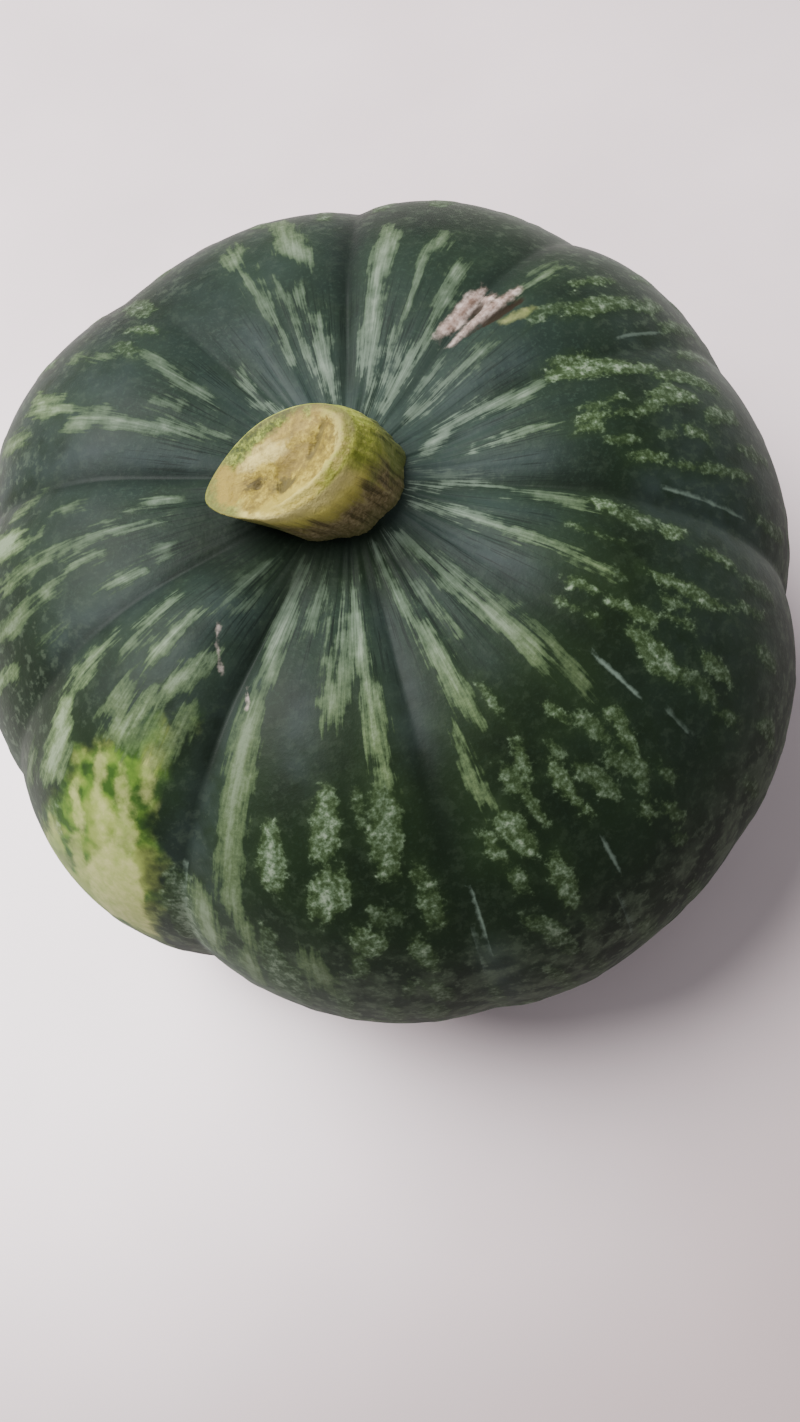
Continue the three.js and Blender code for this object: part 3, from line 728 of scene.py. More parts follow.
def hidden_spots(rng):
    """Broken columns of pale spots on the hidden sides, down to the blossom end."""
    marks = []
    for index in range(RIBS):
        start, span = rib_span(index)
        for share in SPOT_COLUMNS:
            angle = start + span * (share + rng.uniform(*SPOT_SHIFT))
            down = SPOTS_START - SPOTS_START_SWING * math.sin(math.radians(angle))
            down += rng.uniform(0, 10)
            while down < SPOTS_END:
                length = rng.uniform(*SPOT_LENGTH)
                width = rng.uniform(*SPOT_WIDTH)
                top = angle + rng.uniform(-1.0, 1.0)
                marks.append((
                    rng.uniform(*SPOT_STRENGTH), (down, top, width * 0.5),
                    (down + length / 2, top + rng.uniform(-0.6, 0.6), width),
                    (down + length, top, width * 0.5),
                ))
                down += length + rng.uniform(*SPOT_GAP)
    return marks


def blossom_streaks(rng):
    """Two pale streaks a rib that run out from the blossom end."""
    marks = []
    for index in range(RIBS):
        start, span = rib_span(index)
        for share in STREAK_COLUMNS:
            angle = start + span * (share + rng.uniform(*STREAK_SHIFT))
            top = rng.uniform(*STREAK_START)
            width = rng.uniform(*STREAK_WIDTH)
            marks.append((
                rng.uniform(*STREAK_STRENGTH), (top, angle, width * 0.3),
                ((top + STREAK_USUAL_END) / 2, angle + rng.uniform(-1, 1), width),
                (rng.uniform(*STREAK_END), angle, width * 1.2),
            ))
    return marks


def line_field(angle, down, radius):
    """How far inside the thin pale lines each point lies, in mm, and their strength."""
    inside = np.full(len(angle), OUTSIDE_LINES)
    strength = np.zeros(len(angle))
    for power, middle, top, end in PALE_LINES:
        across = LINE_HALF_WIDTH - arc_from(angle, middle, radius)
        here = np.minimum(across, np.minimum(down - top, end - down) * LINE_END_SLOPE)
        nearer = here > inside
        inside[nearer] = here[nearer]
        strength[nearer] = power
    return inside, strength


def bloom_and_sheen_field(angle, down):
    """How much waxy bloom and painted sheen there is, 0 to 1."""
    amount = np.zeros(len(angle))
    for power, middle, half, top, end in BLOOM_AND_SHEEN:
        across = np.exp(-((turn_between(angle, middle) / half) ** 2))
        amount = np.maximum(amount, power * across * window(down, top + 6, end - 8, BLOOM_AND_SHEEN_EDGE))
    return amount


def valley_shade_field(angle, down, radius):
    """How much painted shade each point gets for lying near the bottom of a furrow that shows near
    the stem, 0 to 1.
    """
    amount = np.zeros(len(angle))
    for middle, depth, _ in FURROWS:
        near = np.exp(-((arc_from(angle, middle, radius) / VALLEY_HALF_WIDTH) ** 2))
        amount = np.maximum(amount, min(depth / DEEP_FURROW, 1) * near)
    return amount * smoothstep(down, 12, 24) * (1 - smoothstep(down, 60, 96))


# ======== rind piece ========

# Sides of the fruit, in degrees round it.
FRONT, RIGHT, LEFT = 285, 352, 192
UNDER_STEM, BEHIND_STEM, BESIDE_STEM = 230, 42, 300

# Unevenness, as layers for lumps and for ridges, with heights in mm.
WIDE_LUMPS, SMALL_LUMPS = (38.0, 11.0, 0.5), (13.0, 5.0, 0.16)
WRINKLES, FINE_WRINKLES = (9, 0.02, 2.0, 0.35), (22, 0.03, 4.0, 0.22)
WOBBLE, FINE_WOBBLE = (5.0, 3.1, 0.55), (2.2, 7.7, 0.3)     # of the marks' edges
# Relief of the marks: how far inside one it starts and is full, and its height, all in mm.
MARK_RELIEF = {
    "sage": (-0.6, 0.8, 0.1), "leaf": (-0.6, 0.8, 0.14), "scar": (-0.8, 1.6, 0.4),
    "gash": (-0.8, 0.6, -0.6), "scratch": (-0.6, 0.4, -0.25),
}
FIBRES_ROUND, FIBRE_STRETCH = 57.3, 6   # fibres to the radian, and how long they are drawn out


def rind_relief(points, angle, down, radius, marks):
    """The height of lumps, wrinkles and marks along the normal, in mm."""
    wrinkles = ridges(np.radians(angle), down, WRINKLES, FINE_WRINKLES)
    relief = lumps(points, WIDE_LUMPS, SMALL_LUMPS) + wrinkles * (1 - smoothstep(down, 18, 52))
    for name, (start, full, height) in MARK_RELIEF.items():
        relief += smoothstep(marks[name][0], start, full) * height
    return relief * smoothstep(radius, 3, 12) * (1 - 0.7 * smoothstep(down, 190, 205))


def store_marks(mesh, angle, marks, wobble):
    """Keeps on the mesh how far inside each mark a point lies, in mm, and the strengths."""
    front = np.maximum(facing(angle, FRONT), 0) ** 0.7
    right = np.maximum(facing(angle, RIGHT), 0) ** 2
    leaf, leaf_strength = marks["leaf"]
    # Spots are fainter and narrower on the front as painted shade, and stronger on the right as
    # painted light.
    leaf_strength = leaf_strength * (1 - 0.18 * front + 0.14 * right)
    scar = marks["scar"][0] - wobble * 0.4
    add_attribute(mesh, "sage", *marks["sage"])
    add_attribute(mesh, "leaf", leaf - (0.5 * front - 0.05), leaf_strength)
    add_attribute(mesh, "line", *marks["line"])
    add_attribute(mesh, "scar", scar, marks["gash"][0], marks["scratch"][0])
    add_attribute(mesh, "ground", marks["yellow"][0], *marks["cream"])


def store_shades(mesh, angle, down, radius):
    """Keeps on the mesh where the skin between the marks is green or flecked, where painted shade
    darkens it and painted light pales it, and where bloom with painted sheen lies.
    """
    front = np.maximum(facing(angle, FRONT), 0) ** 0.7
    left = np.maximum(facing(angle, LEFT), 0) ** 4
    add_attribute(mesh, "fibre", *round_axis(
        np.radians(angle), FIBRES_ROUND, down / FIBRE_STRETCH).T)
    add_attribute(mesh, "down", down)
    # Painted shade: the blackish green of the girth starts higher up on the front.
    add_attribute(mesh, "depth_of_green", smoothstep(down, 36 - 12 * front, 76 - 22 * front))

    on_sides = smoothstep(down, 50, 84) * (0.3 - 0.3 * front)
    on_front = smoothstep(down, 84, 104) * 0.4 * front
    fewer_below = 1 - 0.4 * smoothstep(down, 120, 140)
    add_attribute(mesh, "flecks", (on_sides + on_front) * fewer_below + 0.05)
    low = smoothstep(down, 84, 106) * (1 - smoothstep(down, 130, 150))
    add_attribute(mesh, "low_front", low * front)
    # Painted shade along the furrows near the stem.
    add_attribute(mesh, "valley", valley_shade_field(angle, down, radius))

    reach = 24 + 12 * left
    # Painted shadow under the stem's overhang, reaching further down on the left.
    under_stem = smoothstep(facing(angle, UNDER_STEM), 0.2, 0.8)
    add_attribute(mesh, "collar", under_stem * (1 - smoothstep(down, reach - 7, reach + 4)))
    # Painted light near the stem: paler skin behind it, and beside it where the stem's shadow
    # falls.
    lit_behind_stem = smoothstep(facing(angle, BEHIND_STEM), -0.4, 0.4)
    lit_behind_stem *= 1 - smoothstep(down, 24, 38)
    lit_beside_stem = smoothstep(facing(angle, BESIDE_STEM), 0.1, 0.7)
    lit_beside_stem *= 1 - smoothstep(down, 12, 20)
    add_attribute(mesh, "pale_crown", np.maximum(lit_behind_stem, lit_beside_stem * 1.8))
    add_attribute(mesh, "bloom", bloom_and_sheen_field(angle, down))


def make_rind(material):
    rind = added(
        bpy.ops.mesh.primitive_uv_sphere_add, segments=COLUMNS, ring_count=ROWS, radius=1.0)
    mesh = rind.data
    angle, down = ball_to_rind(read_points(mesh))
    tilt = np.interp(down, PROFILE_LENGTH, PROFILE_TILT)
    radius = np.interp(down, PROFILE_LENGTH, PROFILE_RADIUS)
    points = rind_surface(angle, tilt)
    set_points(mesh, points * MM)

    rng = np.random.default_rng(SPOTS_SEED)
    wobble = lumps(points, WOBBLE, FINE_WOBBLE)
    tables = {
        "sage": (SAGE_STREAKS + blossom_streaks(rng), wobble),
        "leaf": (LEAF_SPOTS + hidden_spots(rng), wobble),
        "yellow": (GROUND_YELLOW, wobble), "cream": (GROUND_CREAM, wobble),
        "scar": (SCAR_PALE, wobble), "gash": (SCAR_DARK, 0), "scratch": (SCRATCHES, 0),
    }
    marks = {"line": line_field(angle, down, radius)}
    for name, (table, uneven) in tables.items():
        inside, strength = mark_field(table, angle, down, radius)
        marks[name] = inside + uneven, strength

    relief = rind_relief(points, angle, down, radius, marks)
    points = points + read_points(mesh, "normal") * relief[:, None]
    points[:, 2] = np.maximum(points[:, 2], 0)
    set_points(mesh, points * MM)
    store_marks(mesh, angle, marks, wobble)
    store_shades(mesh, angle, down, radius)
    finish_piece(rind, "squash_rind", material, "fruit")


# ======== rind finish ========

# Noise fields: lumps a mm (a fibre, for the first two), levels of detail, and roughness.
FIBRES, THREADS = (0.62, 3.0, 0.62), (1.7, 2.0, 0.5)
GRAIN, SPECK, FLECK = (0.5, 3.0, 0.6), (1.3, 2.0, 0.6), (0.5, 3.0, 0.7)
BLOT, RIPE_BLOT, CLOUD = (0.2, 2.0, 0.5), (0.15, 2.0, 0.5), (0.06, 3.0, 0.55)
THREAD_STRETCH = (1.0, 1.0, 0.35)

# Ramps: a place along each, and its screen colour there.
RIND_RAMPS = {
    "crown": {0.3: "151f1a", 0.7: "202c27"},
    "girth": {0.3: "0a1308", 0.7: "13200f"},
    "flecks": {0.35: "2f3c2b", 0.65: "566350"},
    "ripening": {0.38: "2c4616", 0.46: "4a6622", 0.54: "60742e", 0.66: "7a8642"},
    "cream": {0.3: "828f49", 0.7: "a3a36a"},
    "leaf": {0.05: "26351b", 0.25: "36452b", 0.45: "4d5d46", 0.8: "7c8a75"},
    "high sage": {0.1: "2d3a28", 0.25: "404e3d", 0.45: "526050", 0.85: "7d8a7a"},
    "low sage": {0.1: "29371e", 0.25: "3b4a30", 0.45: "4e5d3e", 0.85: "6d7b61"},
    "scar": {0.38: "675349", 0.5: "8c7a72", 0.6: "ab9c94"},
    "cork": {0.3: "5e4a30", 0.7: "9a8258"},
}
# Tints: the strength of each, and its screen colour.
RIND_TINTS = {
    "painted light near stem": (0.55, "2c3835"),
    "speckle": (0.2, "34463a"),
    "bloom": (0.6, "2f393a"),
    "collar": (0.75, "091206"),
    "low mottle": (0.5, "4c5845"),
    "valley": (0.6, "090f0b"),
    "between streaks": (0.3, "22301b"),
    "crease shade": (0.65, "0b110e"),
    "round spots": (0.5, "1c2a14"),
    "painted light on sage": (0.25, "75827a"),
    "pale line": (1.0, "66756a"),
    "gash": (0.9, "22180f"),
    "scratch": (0.9, "8c827c"),
}
# Where each mark starts to show and shows in full, in mm inside it.
YELLOW_EDGE, CREAM_EDGE = (-4.0, 3.6), (-0.6, 1.2)
LEAF_EDGE, SAGE_EDGE, LINE_EDGE = (-0.6, 0.35), (-0.7, 0.3), (-0.3, 0.2)
SCAR_EDGE, GASH_EDGE = (-0.8, 0.8), (-0.4, 0.4)
CORK_EDGE = (226, 229)          # mm from the stem end


def rind_finish():
    f = Finish("Squash rind", RIND_RAMPS, RIND_TINTS)
    place = f.place()
    fibre = f.vector("fibre")
    down = f.attribute("down")
    fibres = f.noise(fibre, *FIBRES)
    threads = f.noise(fibre.stretch(THREAD_STRETCH), *THREADS)
    grain, speck = f.noise(place, *GRAIN), f.noise(place, *SPECK)
    cloud, blot = f.noise(place, *CLOUD), f.noise(place, *BLOT)
    sage, leaf, ground = f.vector("sage"), f.vector("leaf"), f.vector("ground")
    line, scar = f.vector("line"), f.vector("scar")
    collar, valley = f.attribute("collar"), f.attribute("valley")

    # Skin between the marks: slate near the stem, blackish green at the girth; the green starts
    # higher on the front as painted shade.
    near = f.attribute("depth_of_green")
    pale_crown = f.attribute("pale_crown")
    skin = f.mix(f.ramp("crown", cloud), f.ramp("girth", cloud), near)
    # Painted light near the stem.
    skin = f.tint(skin, "painted light near stem", pale_crown)
    skin = f.tint(skin, "speckle", (speck - 0.5).step(0.02, 0.2) * (1.3 - near))
    # Waxy bloom, blue-grey, with painted sheen laid into the colour.
    skin = f.tint(skin, "bloom", f.attribute("bloom") * blot.step(0.1, 0.75))

    # Painted shadow: darker skin under the stem's overhang.
    skin = f.tint(skin, "collar", collar)

    # Faint pale flecks, thickest low on the sides, and mottles low on the front.
    flecks = f.noise(place, *FLECK).frayed((blot, 0.3)).step(0.49, 0.66)
    skin = f.mix(skin, f.ramp("flecks", grain), flecks * f.attribute("flecks"))
    mottles = (blot * 0.7 + grain * 0.3).step(0.42, 0.6)
    skin = f.tint(skin, "low mottle", mottles * f.attribute("low_front"))

    # Painted shade along the bottoms of the furrows.
    skin = f.tint(skin, "valley", valley)

    # The skin is olive between streaks that lie close together, and round each spot.
    between = sage.part(0).frayed((blot, 6.0)).step(-5.0, 0.5)
    skin = f.tint(skin, "between streaks", between * sage.part(1))
    # Painted shade in the fine creases near the stem, lighter where the painted light near it
    # falls.
    crease_shade = threads.step(0.44, 0.36) * down.step(52, 30) * (1 - pale_crown * 0.45)
    skin = f.tint(skin, "crease shade", crease_shade)
    around = leaf.part(0).frayed((blot, 4.0), (grain, 3.0)).step(-2.2, 0.5)
    skin = f.tint(skin, "round spots", around * leaf.part(1))

    # Yellow ground patch, soft at its edge, with cream blotches.
    in_yellow = ground.part(0).frayed((blot, 9.0), (grain, 4.0)).step(*YELLOW_EDGE)
    ripe = f.noise(place, *RIPE_BLOT) * 1.15 - 0.18 + grain * 0.2 + (down - 76) * 0.004
    skin = f.mix(skin, f.ramp("ripening", ripe), in_yellow)
    in_cream = ground.part(1).frayed((blot, 3.0), (grain, 2.0)).step(*CREAM_EDGE)
    skin = f.mix(skin, f.ramp("cream", grain), in_cream * ground.part(2))

    # Yellow-green spots, mottled, palest at the middle.
    leaf_depth = leaf.part(0).frayed((grain, 3.0), (speck, 1.5))
    in_leaf = leaf_depth.step(*LEAF_EDGE) * leaf.part(1)
    mottle = (leaf_depth * 0.12).frayed((grain, 1.3), (speck, 1.0)) + 0.2
    skin = f.mix(skin, f.ramp("leaf", mottle), in_leaf)

    # Sage streaks, of threads that run down the rind.
    sage_depth = (sage.part(0) - 0.25).frayed(
        (fibres, 5.5), (threads, 3.0), (grain, 2.5), (blot, 2.5))
    # Streaks are stronger and paler in the painted light near the stem, and dimmer in the painted
    # shadow under it and the painted shade of the furrows.
    in_sage = sage_depth.step(*SAGE_EDGE) * (sage.part(1) + pale_crown * 0.1)
    in_sage = in_sage * (1 - collar * 0.5) * (1 - valley * 0.4)
    streak = sage_depth * 0.2 + 0.2
    high_sage = f.tint(f.ramp("high sage", streak), "painted light on sage", pale_crown)
    low_sage = f.ramp("low sage", streak.frayed((speck, 0.5)))
    skin = f.mix(skin, f.mix(high_sage, low_sage, near), in_sage)

    # Thin pale lines.
    in_line = line.part(0).frayed((grain, 0.9)).step(*LINE_EDGE)
    skin = f.tint(skin, "pale line", in_line * line.part(1))

    # Corky scar, its dark gash and two scratches.
    in_scar = scar.part(0).frayed((grain, 1.7), (fibres, 1.2)).step(*SCAR_EDGE)
    skin = f.mix(skin, f.ramp("scar", fibres * 0.3 + grain * 0.7), in_scar)
    for axis, name in ((1, "gash"), (2, "scratch")):
        skin = f.tint(skin, name, scar.part(axis).frayed((grain, 2.0)).step(*GASH_EDGE))

    # Brown cork at the blossom end.
    cork = down.frayed((grain, 6.0)).step(*CORK_EDGE)
    skin = f.mix(skin, f.ramp("cork", grain), cork)

    pale = in_sage.most(in_leaf)
    rough = (0.5 + pale * 0.1 + in_scar * 0.2 + cork * 0.2).frayed((cloud, 0.1))
    rough = rough + down.step(80, 110) * 0.25
    height = grain * 0.25 + speck * 0.12 + pale * (speck - 0.5) * 0.4
    height = height + in_sage * (threads - 0.5) * 0.5
    return f.wear(
        Base_Color=skin, Roughness=rough, Normal=f.bump(height, 0.5, 0.0005),
        Specular_IOR_Level=0.08, Sheen_Weight=0.06, Sheen_Roughness=0.5,
        Sheen_Tint=(0.78, 1.0, 0.84, 1.0),
    )


# ======== stem piece ========

RIM_ROUNDING = 0.045            # the share of the side and the cut that bends at the rim
WORN_SIDE, WORN_DEPTH = 330, 1.9    # the shoulder's worn side in degrees, and how far down
BARK_ROUND = 20                 # bark fibres to the radian
LIP_HEIGHT, LIP_PLACE, LIP_WIDTH = 0.8, 0.86, 0.05
PITH_LUMPS, PITH_SPECKS = (3.0, 1.0, 0.45), (1.3, 6.0, 0.25)
BARK_RIDGES, FINE_BARK_RIDGES = (4.5, 1.2, 3.0, 0.28), (12, 2.0, 9.0, 0.2)

# Hollows of the pith and one swelling: depth, place on the cut, size, and turn in degrees.
PITS = [
    (1.2, (-2.8, 1.2), (4.6, 3.0), 25), (1.1, (-0.8, 4.2), (2.2, 1.3), 60),
    (0.9, (4.9, 1.5), (2.0, 0.8), -15), (1.1, (-8.6, -0.8), (3.4, 1.1), 50),
    (-0.5, (3.6, -2.8), (3.4, 1.8), 15),
]


def stem_drum():
    """A closed drum, 1 in radius and 1 high, with rows up its side and rings in on its top."""
    drum = added(
        bpy.ops.mesh.primitive_circle_add, vertices=STEM_COLUMNS, radius=1.0, fill_type="NGON")
    bpy.ops.object.mode_set(mode="EDIT")
    bpy.ops.mesh.select_all(action="SELECT")
    for _ in range(STEM_ROWS):
        bpy.ops.mesh.extrude_region_move(TRANSFORM_OT_translate={"value": (0, 0, 1 / STEM_ROWS)})
    for ring in range(CUT_RINGS):
        share = (CUT_RINGS - ring) / (CUT_RINGS + 1 - ring)
        bpy.ops.mesh.extrude_region_move(TRANSFORM_OT_translate={"value": (0, 0, 0)})
        bpy.ops.transform.resize(value=(share, share, 1), center_override=(0, 0, 1))
    bpy.ops.mesh.poke()
    bpy.ops.mesh.select_all(action="SELECT")
    bpy.ops.mesh.normals_make_consistent(inside=False)
    bpy.ops.object.mode_set(mode="OBJECT")
    return drum


def stem_surface(around, height, across):
    """The stem's points in mm, and their places on the cut: down its slope, and sideways.

    around is in radians, height runs from foot (0) to cut (1), and across from the stem's middle
    line (0) to its side (1).
    """
    direction = math.radians(CUT_DIRECTION)
    low = np.cos(around - direction)
    width = CUT_HALF_WIDTH * (1 - CUT_TAPER * np.maximum(low, 0) ** 2)
    length = CUT_HALF_LENGTH * low * across
    side = width * np.sin(around - direction) * across
    ridge = np.cos(STEM_RIDGES * around) * (1 - 0.5 * height) * STEM_RIDGE_HEIGHT
    foot = round_axis(around, (FOOT_RADIUS + ridge) * across, 0.0)
    tilt = Matrix.Rotation(math.radians(CUT_SLOPE), 3, "Y")
    slope = np.array(Matrix.Rotation(direction, 3, "Z") @ tilt)
    rim = np.stack([length, side, np.zeros_like(side)], axis=-1) @ slope.T + CUT_CENTRE
    return foot * (1 - height)[:, None] + rim * height[:, None], length, side


def round_rim(height, across, on_cap):
    """Bends the last of the side and the first of the cut into each other."""
    up = np.where(on_cap, 0.0, np.clip((height - 1 + RIM_ROUNDING) / RIM_ROUNDING, 0, 1))
    inner = np.where(on_cap, np.clip((1 - across) / RIM_ROUNDING, 0, 1), 1.0)
    pull = RIM_ROUNDING * 0.35
    round_height = np.where(on_cap, 1 - RIM_ROUNDING * 0.3 * (1 - inner) ** 2, height)
    round_across = np.where(on_cap, across - pull * (1 - inner), 1 - pull * up ** 2)
    return round_height, round_across


def cut_sink(points, length, side, across, on_cap):
    """How far the cut's points go down, in mm: dished pith, hollows, and a raised lip."""
    face = np.where(on_cap, 1 - smoothstep(across, 0.9, 1.0), 0.0)
    sink = CUT_DISH * (1 - across ** 2) * face
    for depth, (pit_length, pit_side), (long, wide), turned in PITS:
        x, y = length - pit_length, side - pit_side
        cosine, sine = math.cos(math.radians(turned)), math.sin(math.radians(turned))
        x, y = (x * cosine + y * sine) / long, (y * cosine - x * sine) / wide
        sink += face * depth * np.exp(-x ** 2 - y ** 2)
    lip = np.exp(-(((across - LIP_PLACE) / LIP_WIDTH) ** 2))
    sink -= LIP_HEIGHT * lip * smoothstep(-length + side * 0.8, 2, 9) * on_cap
    rough = lumps(points, PITH_LUMPS, PITH_SPECKS)
    return sink - rough * face * smoothstep(1 - across, 0.06, 0.2)


def side_swell(around, height, across, on_cap, worn):
    """How far the side's points go out, in mm: upright ribs, and the worn shoulder."""
    ribs = ridges(around, height, BARK_RIDGES, FINE_BARK_RIDGES)
    ribs *= np.where(on_cap, 0.0, smoothstep(1 - height, 0.0, 0.1))
    below = smoothstep(height, 0.15, 0.7) * 1.3 - smoothstep(height, 0.75, 1.0) * 0.45
    return ribs + worn * np.where(on_cap, smoothstep(across, 0.8, 1.0) * 0.85, below)


def make_stem(material):
    stem = stem_drum()
    mesh = stem.data
    drum = read_points(mesh)
    around = np.arctan2(drum[:, 1], drum[:, 0])
    across = np.minimum(np.hypot(drum[:, 0], drum[:, 1]), 1.0)
    height = np.clip(drum[:, 2], 0, 1)
    on_cap = height > ALMOST_CUT
    points, length, side = stem_surface(around, *round_rim(height, across, on_cap))
    points[:, 2] -= cut_sink(points, length, side, across, on_cap)

    # The shoulder is worn away on one side.
    worn = smoothstep(np.cos(around - math.radians(WORN_SIDE)), -0.1, 0.8)
    wear_below = (0.5 + 0.5 * smoothstep(height, 0.6, 1.0)) * smoothstep(height, 0.3, 1.0)
    wear = np.where(on_cap, smoothstep(across, 0.84, 1.08), wear_below)
    points[:, 2] -= WORN_DEPTH * worn * wear

    swell = side_swell(around, height, across, on_cap, worn)
    points += round_axis(around, swell, -STEM_SUNK * (1 - height))
    set_points(mesh, (points + STEM_FOOT) * MM)

    add_attribute(mesh, "bark", *round_axis(around, BARK_ROUND, height * 2).T)
    add_attribute(mesh, "cut", length, side, across)
    add_attribute(mesh, "face", np.where(on_cap, 1 - smoothstep(across, 0.97, 1.0), 0.0))
    add_attribute(mesh, "height", height)
    finish_piece(stem, "squash_stem", material, "stem")


# ======== stem finish ========

# Noise fields: lumps a mm (a fibre, for the last), levels of detail, and roughness.
CORK_GRAIN, CORK_SPECK = (0.55, 3.0, 0.6), (1.4, 2.0, 0.65)
CORK_PATCH, BARK_RIBS = (0.16, 2.0, 0.5), (0.5, 3.0, 0.6)

# Ramps: a place along each, and its screen colour there. Tints: a strength and a screen colour.
STEM_RAMPS = {
    "pith": {0.36: "594b14", 0.5: "77671d", 0.64: "9d8c38"},
    "green rim": {0.38: "2e3808", 0.5: "4c5614", 0.62: "808838"},
    "olive rim": {0.35: "626a1c", 0.65: "888a34"},
    "shoulder": {0.36: "76821f", 0.5: "949e34", 0.64: "b8bb5c"},
    "lit lower edge": {0.6: "b4a84e", 0.8: "dacc6a", 0.97: "e6d68a"},
    "brown side": {0.38: "6c563e", 0.5: "927a5c", 0.62: "b89e80"},
    "olive side": {0.36: "66722c", 0.5: "858e44", 0.64: "a6aa66"},
}
STEM_TINTS = {
    "pink pith": (0.4, "917d49"),
    "cream pith": (1.0, "b8aa66"),
    "yellow pith": (0.6, "a0913a"),
    "tan end": (0.8, "86732a"),
    "grey end": (0.7, "5c5432"),
    "wide hollow": (0.5, "6a5a2c"),
    "pit": (0.85, "463e19"),
    "slit": (0.85, "3f3618"),
    "crack": (0.75, "4c421a"),
    "ring": (0.6, "b0a558"),
    "yellow lit rim": (0.85, "b8aa5c"),
    "olive end": (0.7, "5e5e28"),
    "far edge": (0.6, "4e4a2c"),
    "foot": (0.7, "565e32"),
    "pale bark": (0.3, "aaa568"),
    "bark crack": (0.45, "3a3720"),
    "left side": (0.8, "5c5e28"),
}
# The pith's hollows: place on the cut, half length and half width, and tint.
PITH_HOLLOWS = [
    ((-4.2, 0.2), (4.0, 2.4), "wide hollow"), ((-1.0, 3.9), (2.2, 1.7), "pit"),
    ((4.9, 1.3), (2.4, 0.9), "slit"),
]
HOLLOW_EDGE = (1.5, 0.5)


def pith_colour(f, grain, speck, patchy, length, side):
    """Cream pith, pinker along its far side, tan at its low end, brown in its hollows."""
    def blot(at, size):
        x, y = (length - at[0]) / size[0], (side - at[1]) / size[1]
        return (x * x + y * y).frayed((grain, 3.0)).step(*HOLLOW_EDGE)

    pith = f.ramp("pith", grain * 0.6 + speck * 0.4)
    pith = f.tint(pith, "pink pith", (side * -0.12).frayed((patchy, 3.0)).step(-0.1, 1.1))
    cream = blot((3.0, -3.4), (5.5, 2.2)) * (grain * 1.5 + speck - 0.6)
    pith = f.tint(pith, "cream pith", cream)
    pith = f.tint(pith, "yellow pith", blot((-1.5, 8.0), (6.5, 2.4)))
    pith = f.tint(pith, "tan end", length.step(6.5, 10.5))
    pith = f.tint(pith, "grey end", length.step(-11, -15))
    for at, size, name in PITH_HOLLOWS:
        pith = f.tint(pith, name, blot(at, size))
    x, y = length + 8.8, side + 1.0
    crack = abs((x * 0.75 - y * 0.62).frayed((grain, 2.0))).step(1.2, 0.3)
    return f.tint(pith, "crack", crack * (abs(x) + abs(y)).step(6.5, 4.0))


def cut_colour(f, grain, speck, patchy):
    """The pith in its rim: speckled green on the left, yellow below and partly painted light
    there, olive on the right.
    """
    cut = f.vector("cut")
    length, side, across = cut.part(0), cut.part(1), cut.part(2)
    left = (length - side * 0.9).step(0, 9)
    right = (side * 0.8 - length).step(3, 9)
    before_end = length.step(11, 7)
    below = side.frayed((grain, 4.0)).step(2.0, 6.0) * (length + 9.0).step(0, 4) * before_end

    pith = pith_colour(f, grain, speck, patchy, length, side)
    # A pale ring on the raised lip at the right, partly painted highlight.
    ring = abs(across.frayed((grain, 0.3)) - LIP_PLACE).step(0.08, 0.02) * right
    pith = f.tint(pith, "ring", ring)

    rim = f.ramp("green rim", grain * 0.5 + speck * 0.5)
    rim = f.mix(rim, f.ramp("olive rim", grain), right)
    # Yellow rim below, partly its own colour, partly painted light.
    rim = f.tint(rim, "yellow lit rim", below)
    rim = f.tint(rim, "olive end", length.step(8, 12))
    band = across + left * 0.28 * before_end - below * 0.02
    colour = f.mix(pith, rim, band.frayed((grain, 0.5), (patchy, 0.4)).step(0.8, 1.0))
    far_edge = across.step(0.8, 0.96) * (-side - length * 0.5).step(4, 8)
    return f.tint(colour, "far edge", far_edge)


def side_colour(f, grain, speck, patchy, ribs, x, y):
    """Yellow-olive shoulder with a pale lower edge that is partly painted light, browner below it
    towards the front, dark olive at the foot.
    """
    height = f.attribute("height")
    shoulder = f.ramp("shoulder", ribs * 0.5 + grain * 0.5)
    # Pale lower edge: partly the pith's own lighter colour, partly painted light where the side
    # faces away.
    lit_low_edge = (x * -0.1 - y).frayed((patchy, 1.0)).step(0.4, 0.85)
    edge = f.ramp("lit lower edge", height.frayed((grain, 0.2)))
    shoulder = f.mix(shoulder, edge, lit_low_edge * 0.9)

    brown = f.ramp("brown side", ribs * 0.4 + speck * 0.6)
    olive = f.ramp("olive side", ribs * 0.5 + grain * 0.5)
    front = (x * 0.15 - y * 0.98).frayed((patchy, 0.9)).step(0.4, 0.85)
    lower = f.mix(olive, brown, front * 0.8)
    down = height.frayed((patchy, 0.5), (ribs, 0.9)).step(0.9, 0.4)
    colour = f.mix(shoulder, lower, down)
    colour = f.tint(colour, "foot", height.frayed((patchy, 0.3)).step(0.35, 0.0))
    colour = f.tint(colour, "pale bark", (speck * 0.4 + ribs * 0.6).step(0.58, 0.66))
    cracks = ribs.frayed((grain, 0.2)).step(0.44, 0.36) * height.step(0.95, 0.6)
    colour = f.tint(colour, "bark crack", cracks)
    return f.tint(colour, "left side", (-x).step(0.3, 0.7))


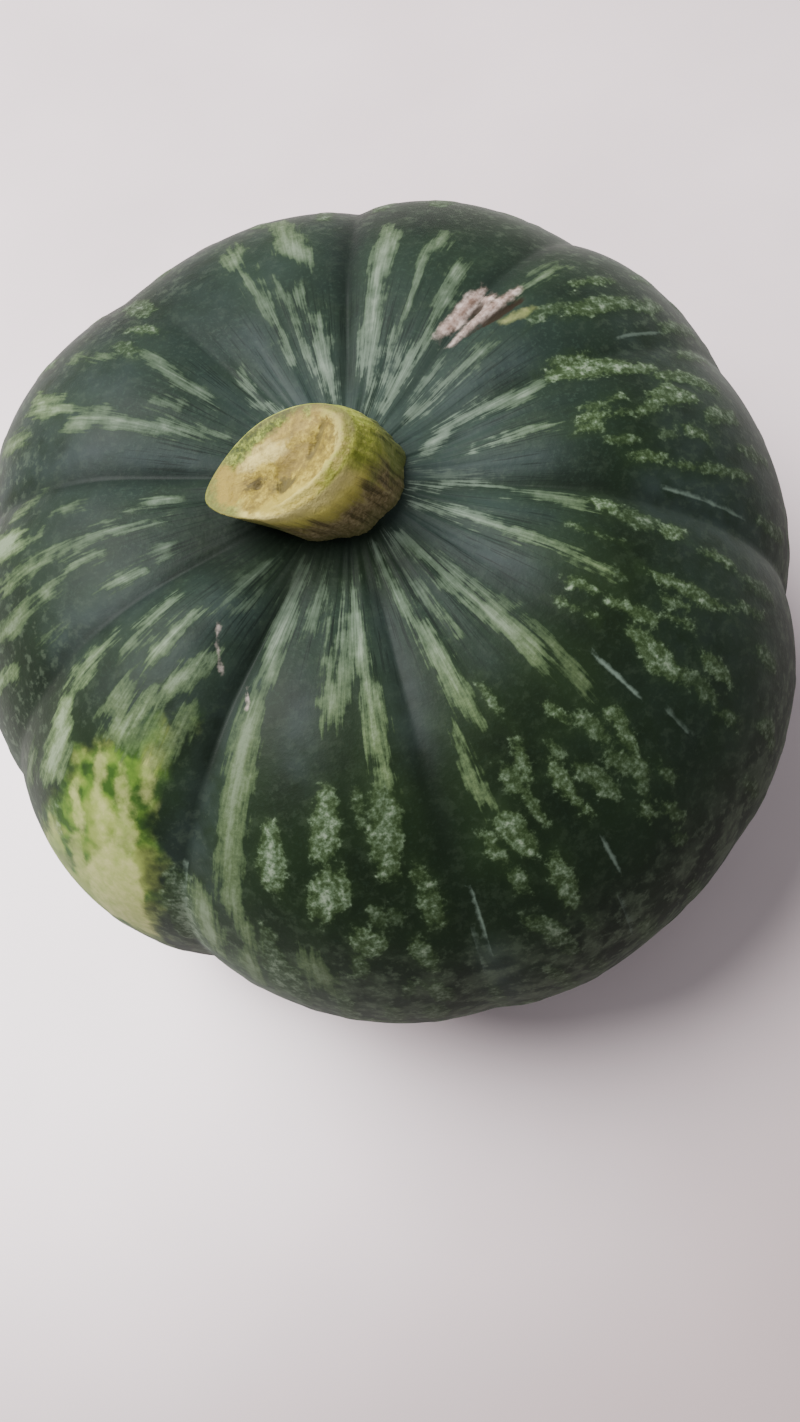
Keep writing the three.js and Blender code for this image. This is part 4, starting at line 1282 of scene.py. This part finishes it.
def stem_finish():
    f = Finish("Stem cork", STEM_RAMPS, STEM_TINTS)
    place = f.place()
    bark = f.vector("bark")
    face = f.attribute("face")
    grain, speck = f.noise(place, *CORK_GRAIN), f.noise(place, *CORK_SPECK)
    patchy, ribs = f.noise(place, *CORK_PATCH), f.noise(bark, *BARK_RIBS)
    x, y = bark.part(0) / BARK_ROUND, bark.part(1) / BARK_ROUND
    side = side_colour(f, grain, speck, patchy, ribs, x, y)
    colour = f.mix(side, cut_colour(f, grain, speck, patchy), face)
    rough = (0.78 - (1 - face) * 0.16).frayed((grain, 0.1))
    height = grain * 0.6 + speck * 0.5 + ribs * 0.4
    return f.wear(
        Base_Color=colour, Roughness=rough, Normal=f.bump(height, 0.7, 0.0006), IOR=1.45)


# ======== surroundings ========

FLOOR_SIZE = 4.0
FLOOR_CLOUD = (0.012, 3.0, 0.5)
FLOOR_RAMPS = {"floor": {0.3: "dacbce", 0.7: "e7d8db"}}
# Tints: painted shadow on the floor, towards the front and nearest the camera.
FLOOR_TINTS = {"front": (1.0, "b09f9e"), "nearest shade": (0.62, "978787")}
LIGHT_PLACE, LIGHT_AIM = (-0.52, 0.42, 1.10), (0, 0, 0.05)
LIGHT_SIZE, LIGHT_POWER, LIGHT_COLOUR = 1.0, 53, (1.0, 0.985, 0.98)
WORLD_COLOUR, WORLD_STRENGTH = (0.97, 0.96, 1.0, 1.0), 0.42


def floor_finish():
    f = Finish("Pale floor", FLOOR_RAMPS, FLOOR_TINTS)
    place = f.place()
    colour = f.ramp("floor", f.noise(place, *FLOOR_CLOUD))
    # Painted shadow: the floor darkens towards the front, most of all nearest the camera.
    front = (place.part(1) * -0.8 + place.part(0) * 0.6).step(60, 230)
    colour = f.tint(colour, "front", front)
    colour = f.tint(colour, "nearest shade", (-place.part(1)).step(100, 180))
    return f.wear(Base_Color=colour, Roughness=0.3, Specular_IOR_Level=0.8)


def make_floor():
    floor = added(bpy.ops.mesh.primitive_plane_add, size=FLOOR_SIZE, location=(0, 0, 0))
    floor.name = "floor"
    floor.data.materials.append(floor_finish())


def add_light():
    """One large soft light from behind and to the left, as from a window."""
    light = added(bpy.ops.object.light_add, type="AREA", location=LIGHT_PLACE)
    light.name = "window_light"
    light.data.shape = "DISK"
    light.data.size = LIGHT_SIZE
    light.data.energy = LIGHT_POWER
    light.data.color = LIGHT_COLOUR
    way = Vector(LIGHT_AIM) - Vector(LIGHT_PLACE)
    light.rotation_euler = way.to_track_quat("-Z", "Y").to_euler()


def set_world():
    world = bpy.data.worlds.new("Studio")
    bpy.context.scene.world = world
    world.use_nodes = True
    background = world.node_tree.nodes["Background"]
    background.inputs["Color"].default_value = WORLD_COLOUR
    background.inputs["Strength"].default_value = WORLD_STRENGTH


make_floor()
make_rind(rind_finish())
make_stem(stem_finish())
add_light()
set_world()
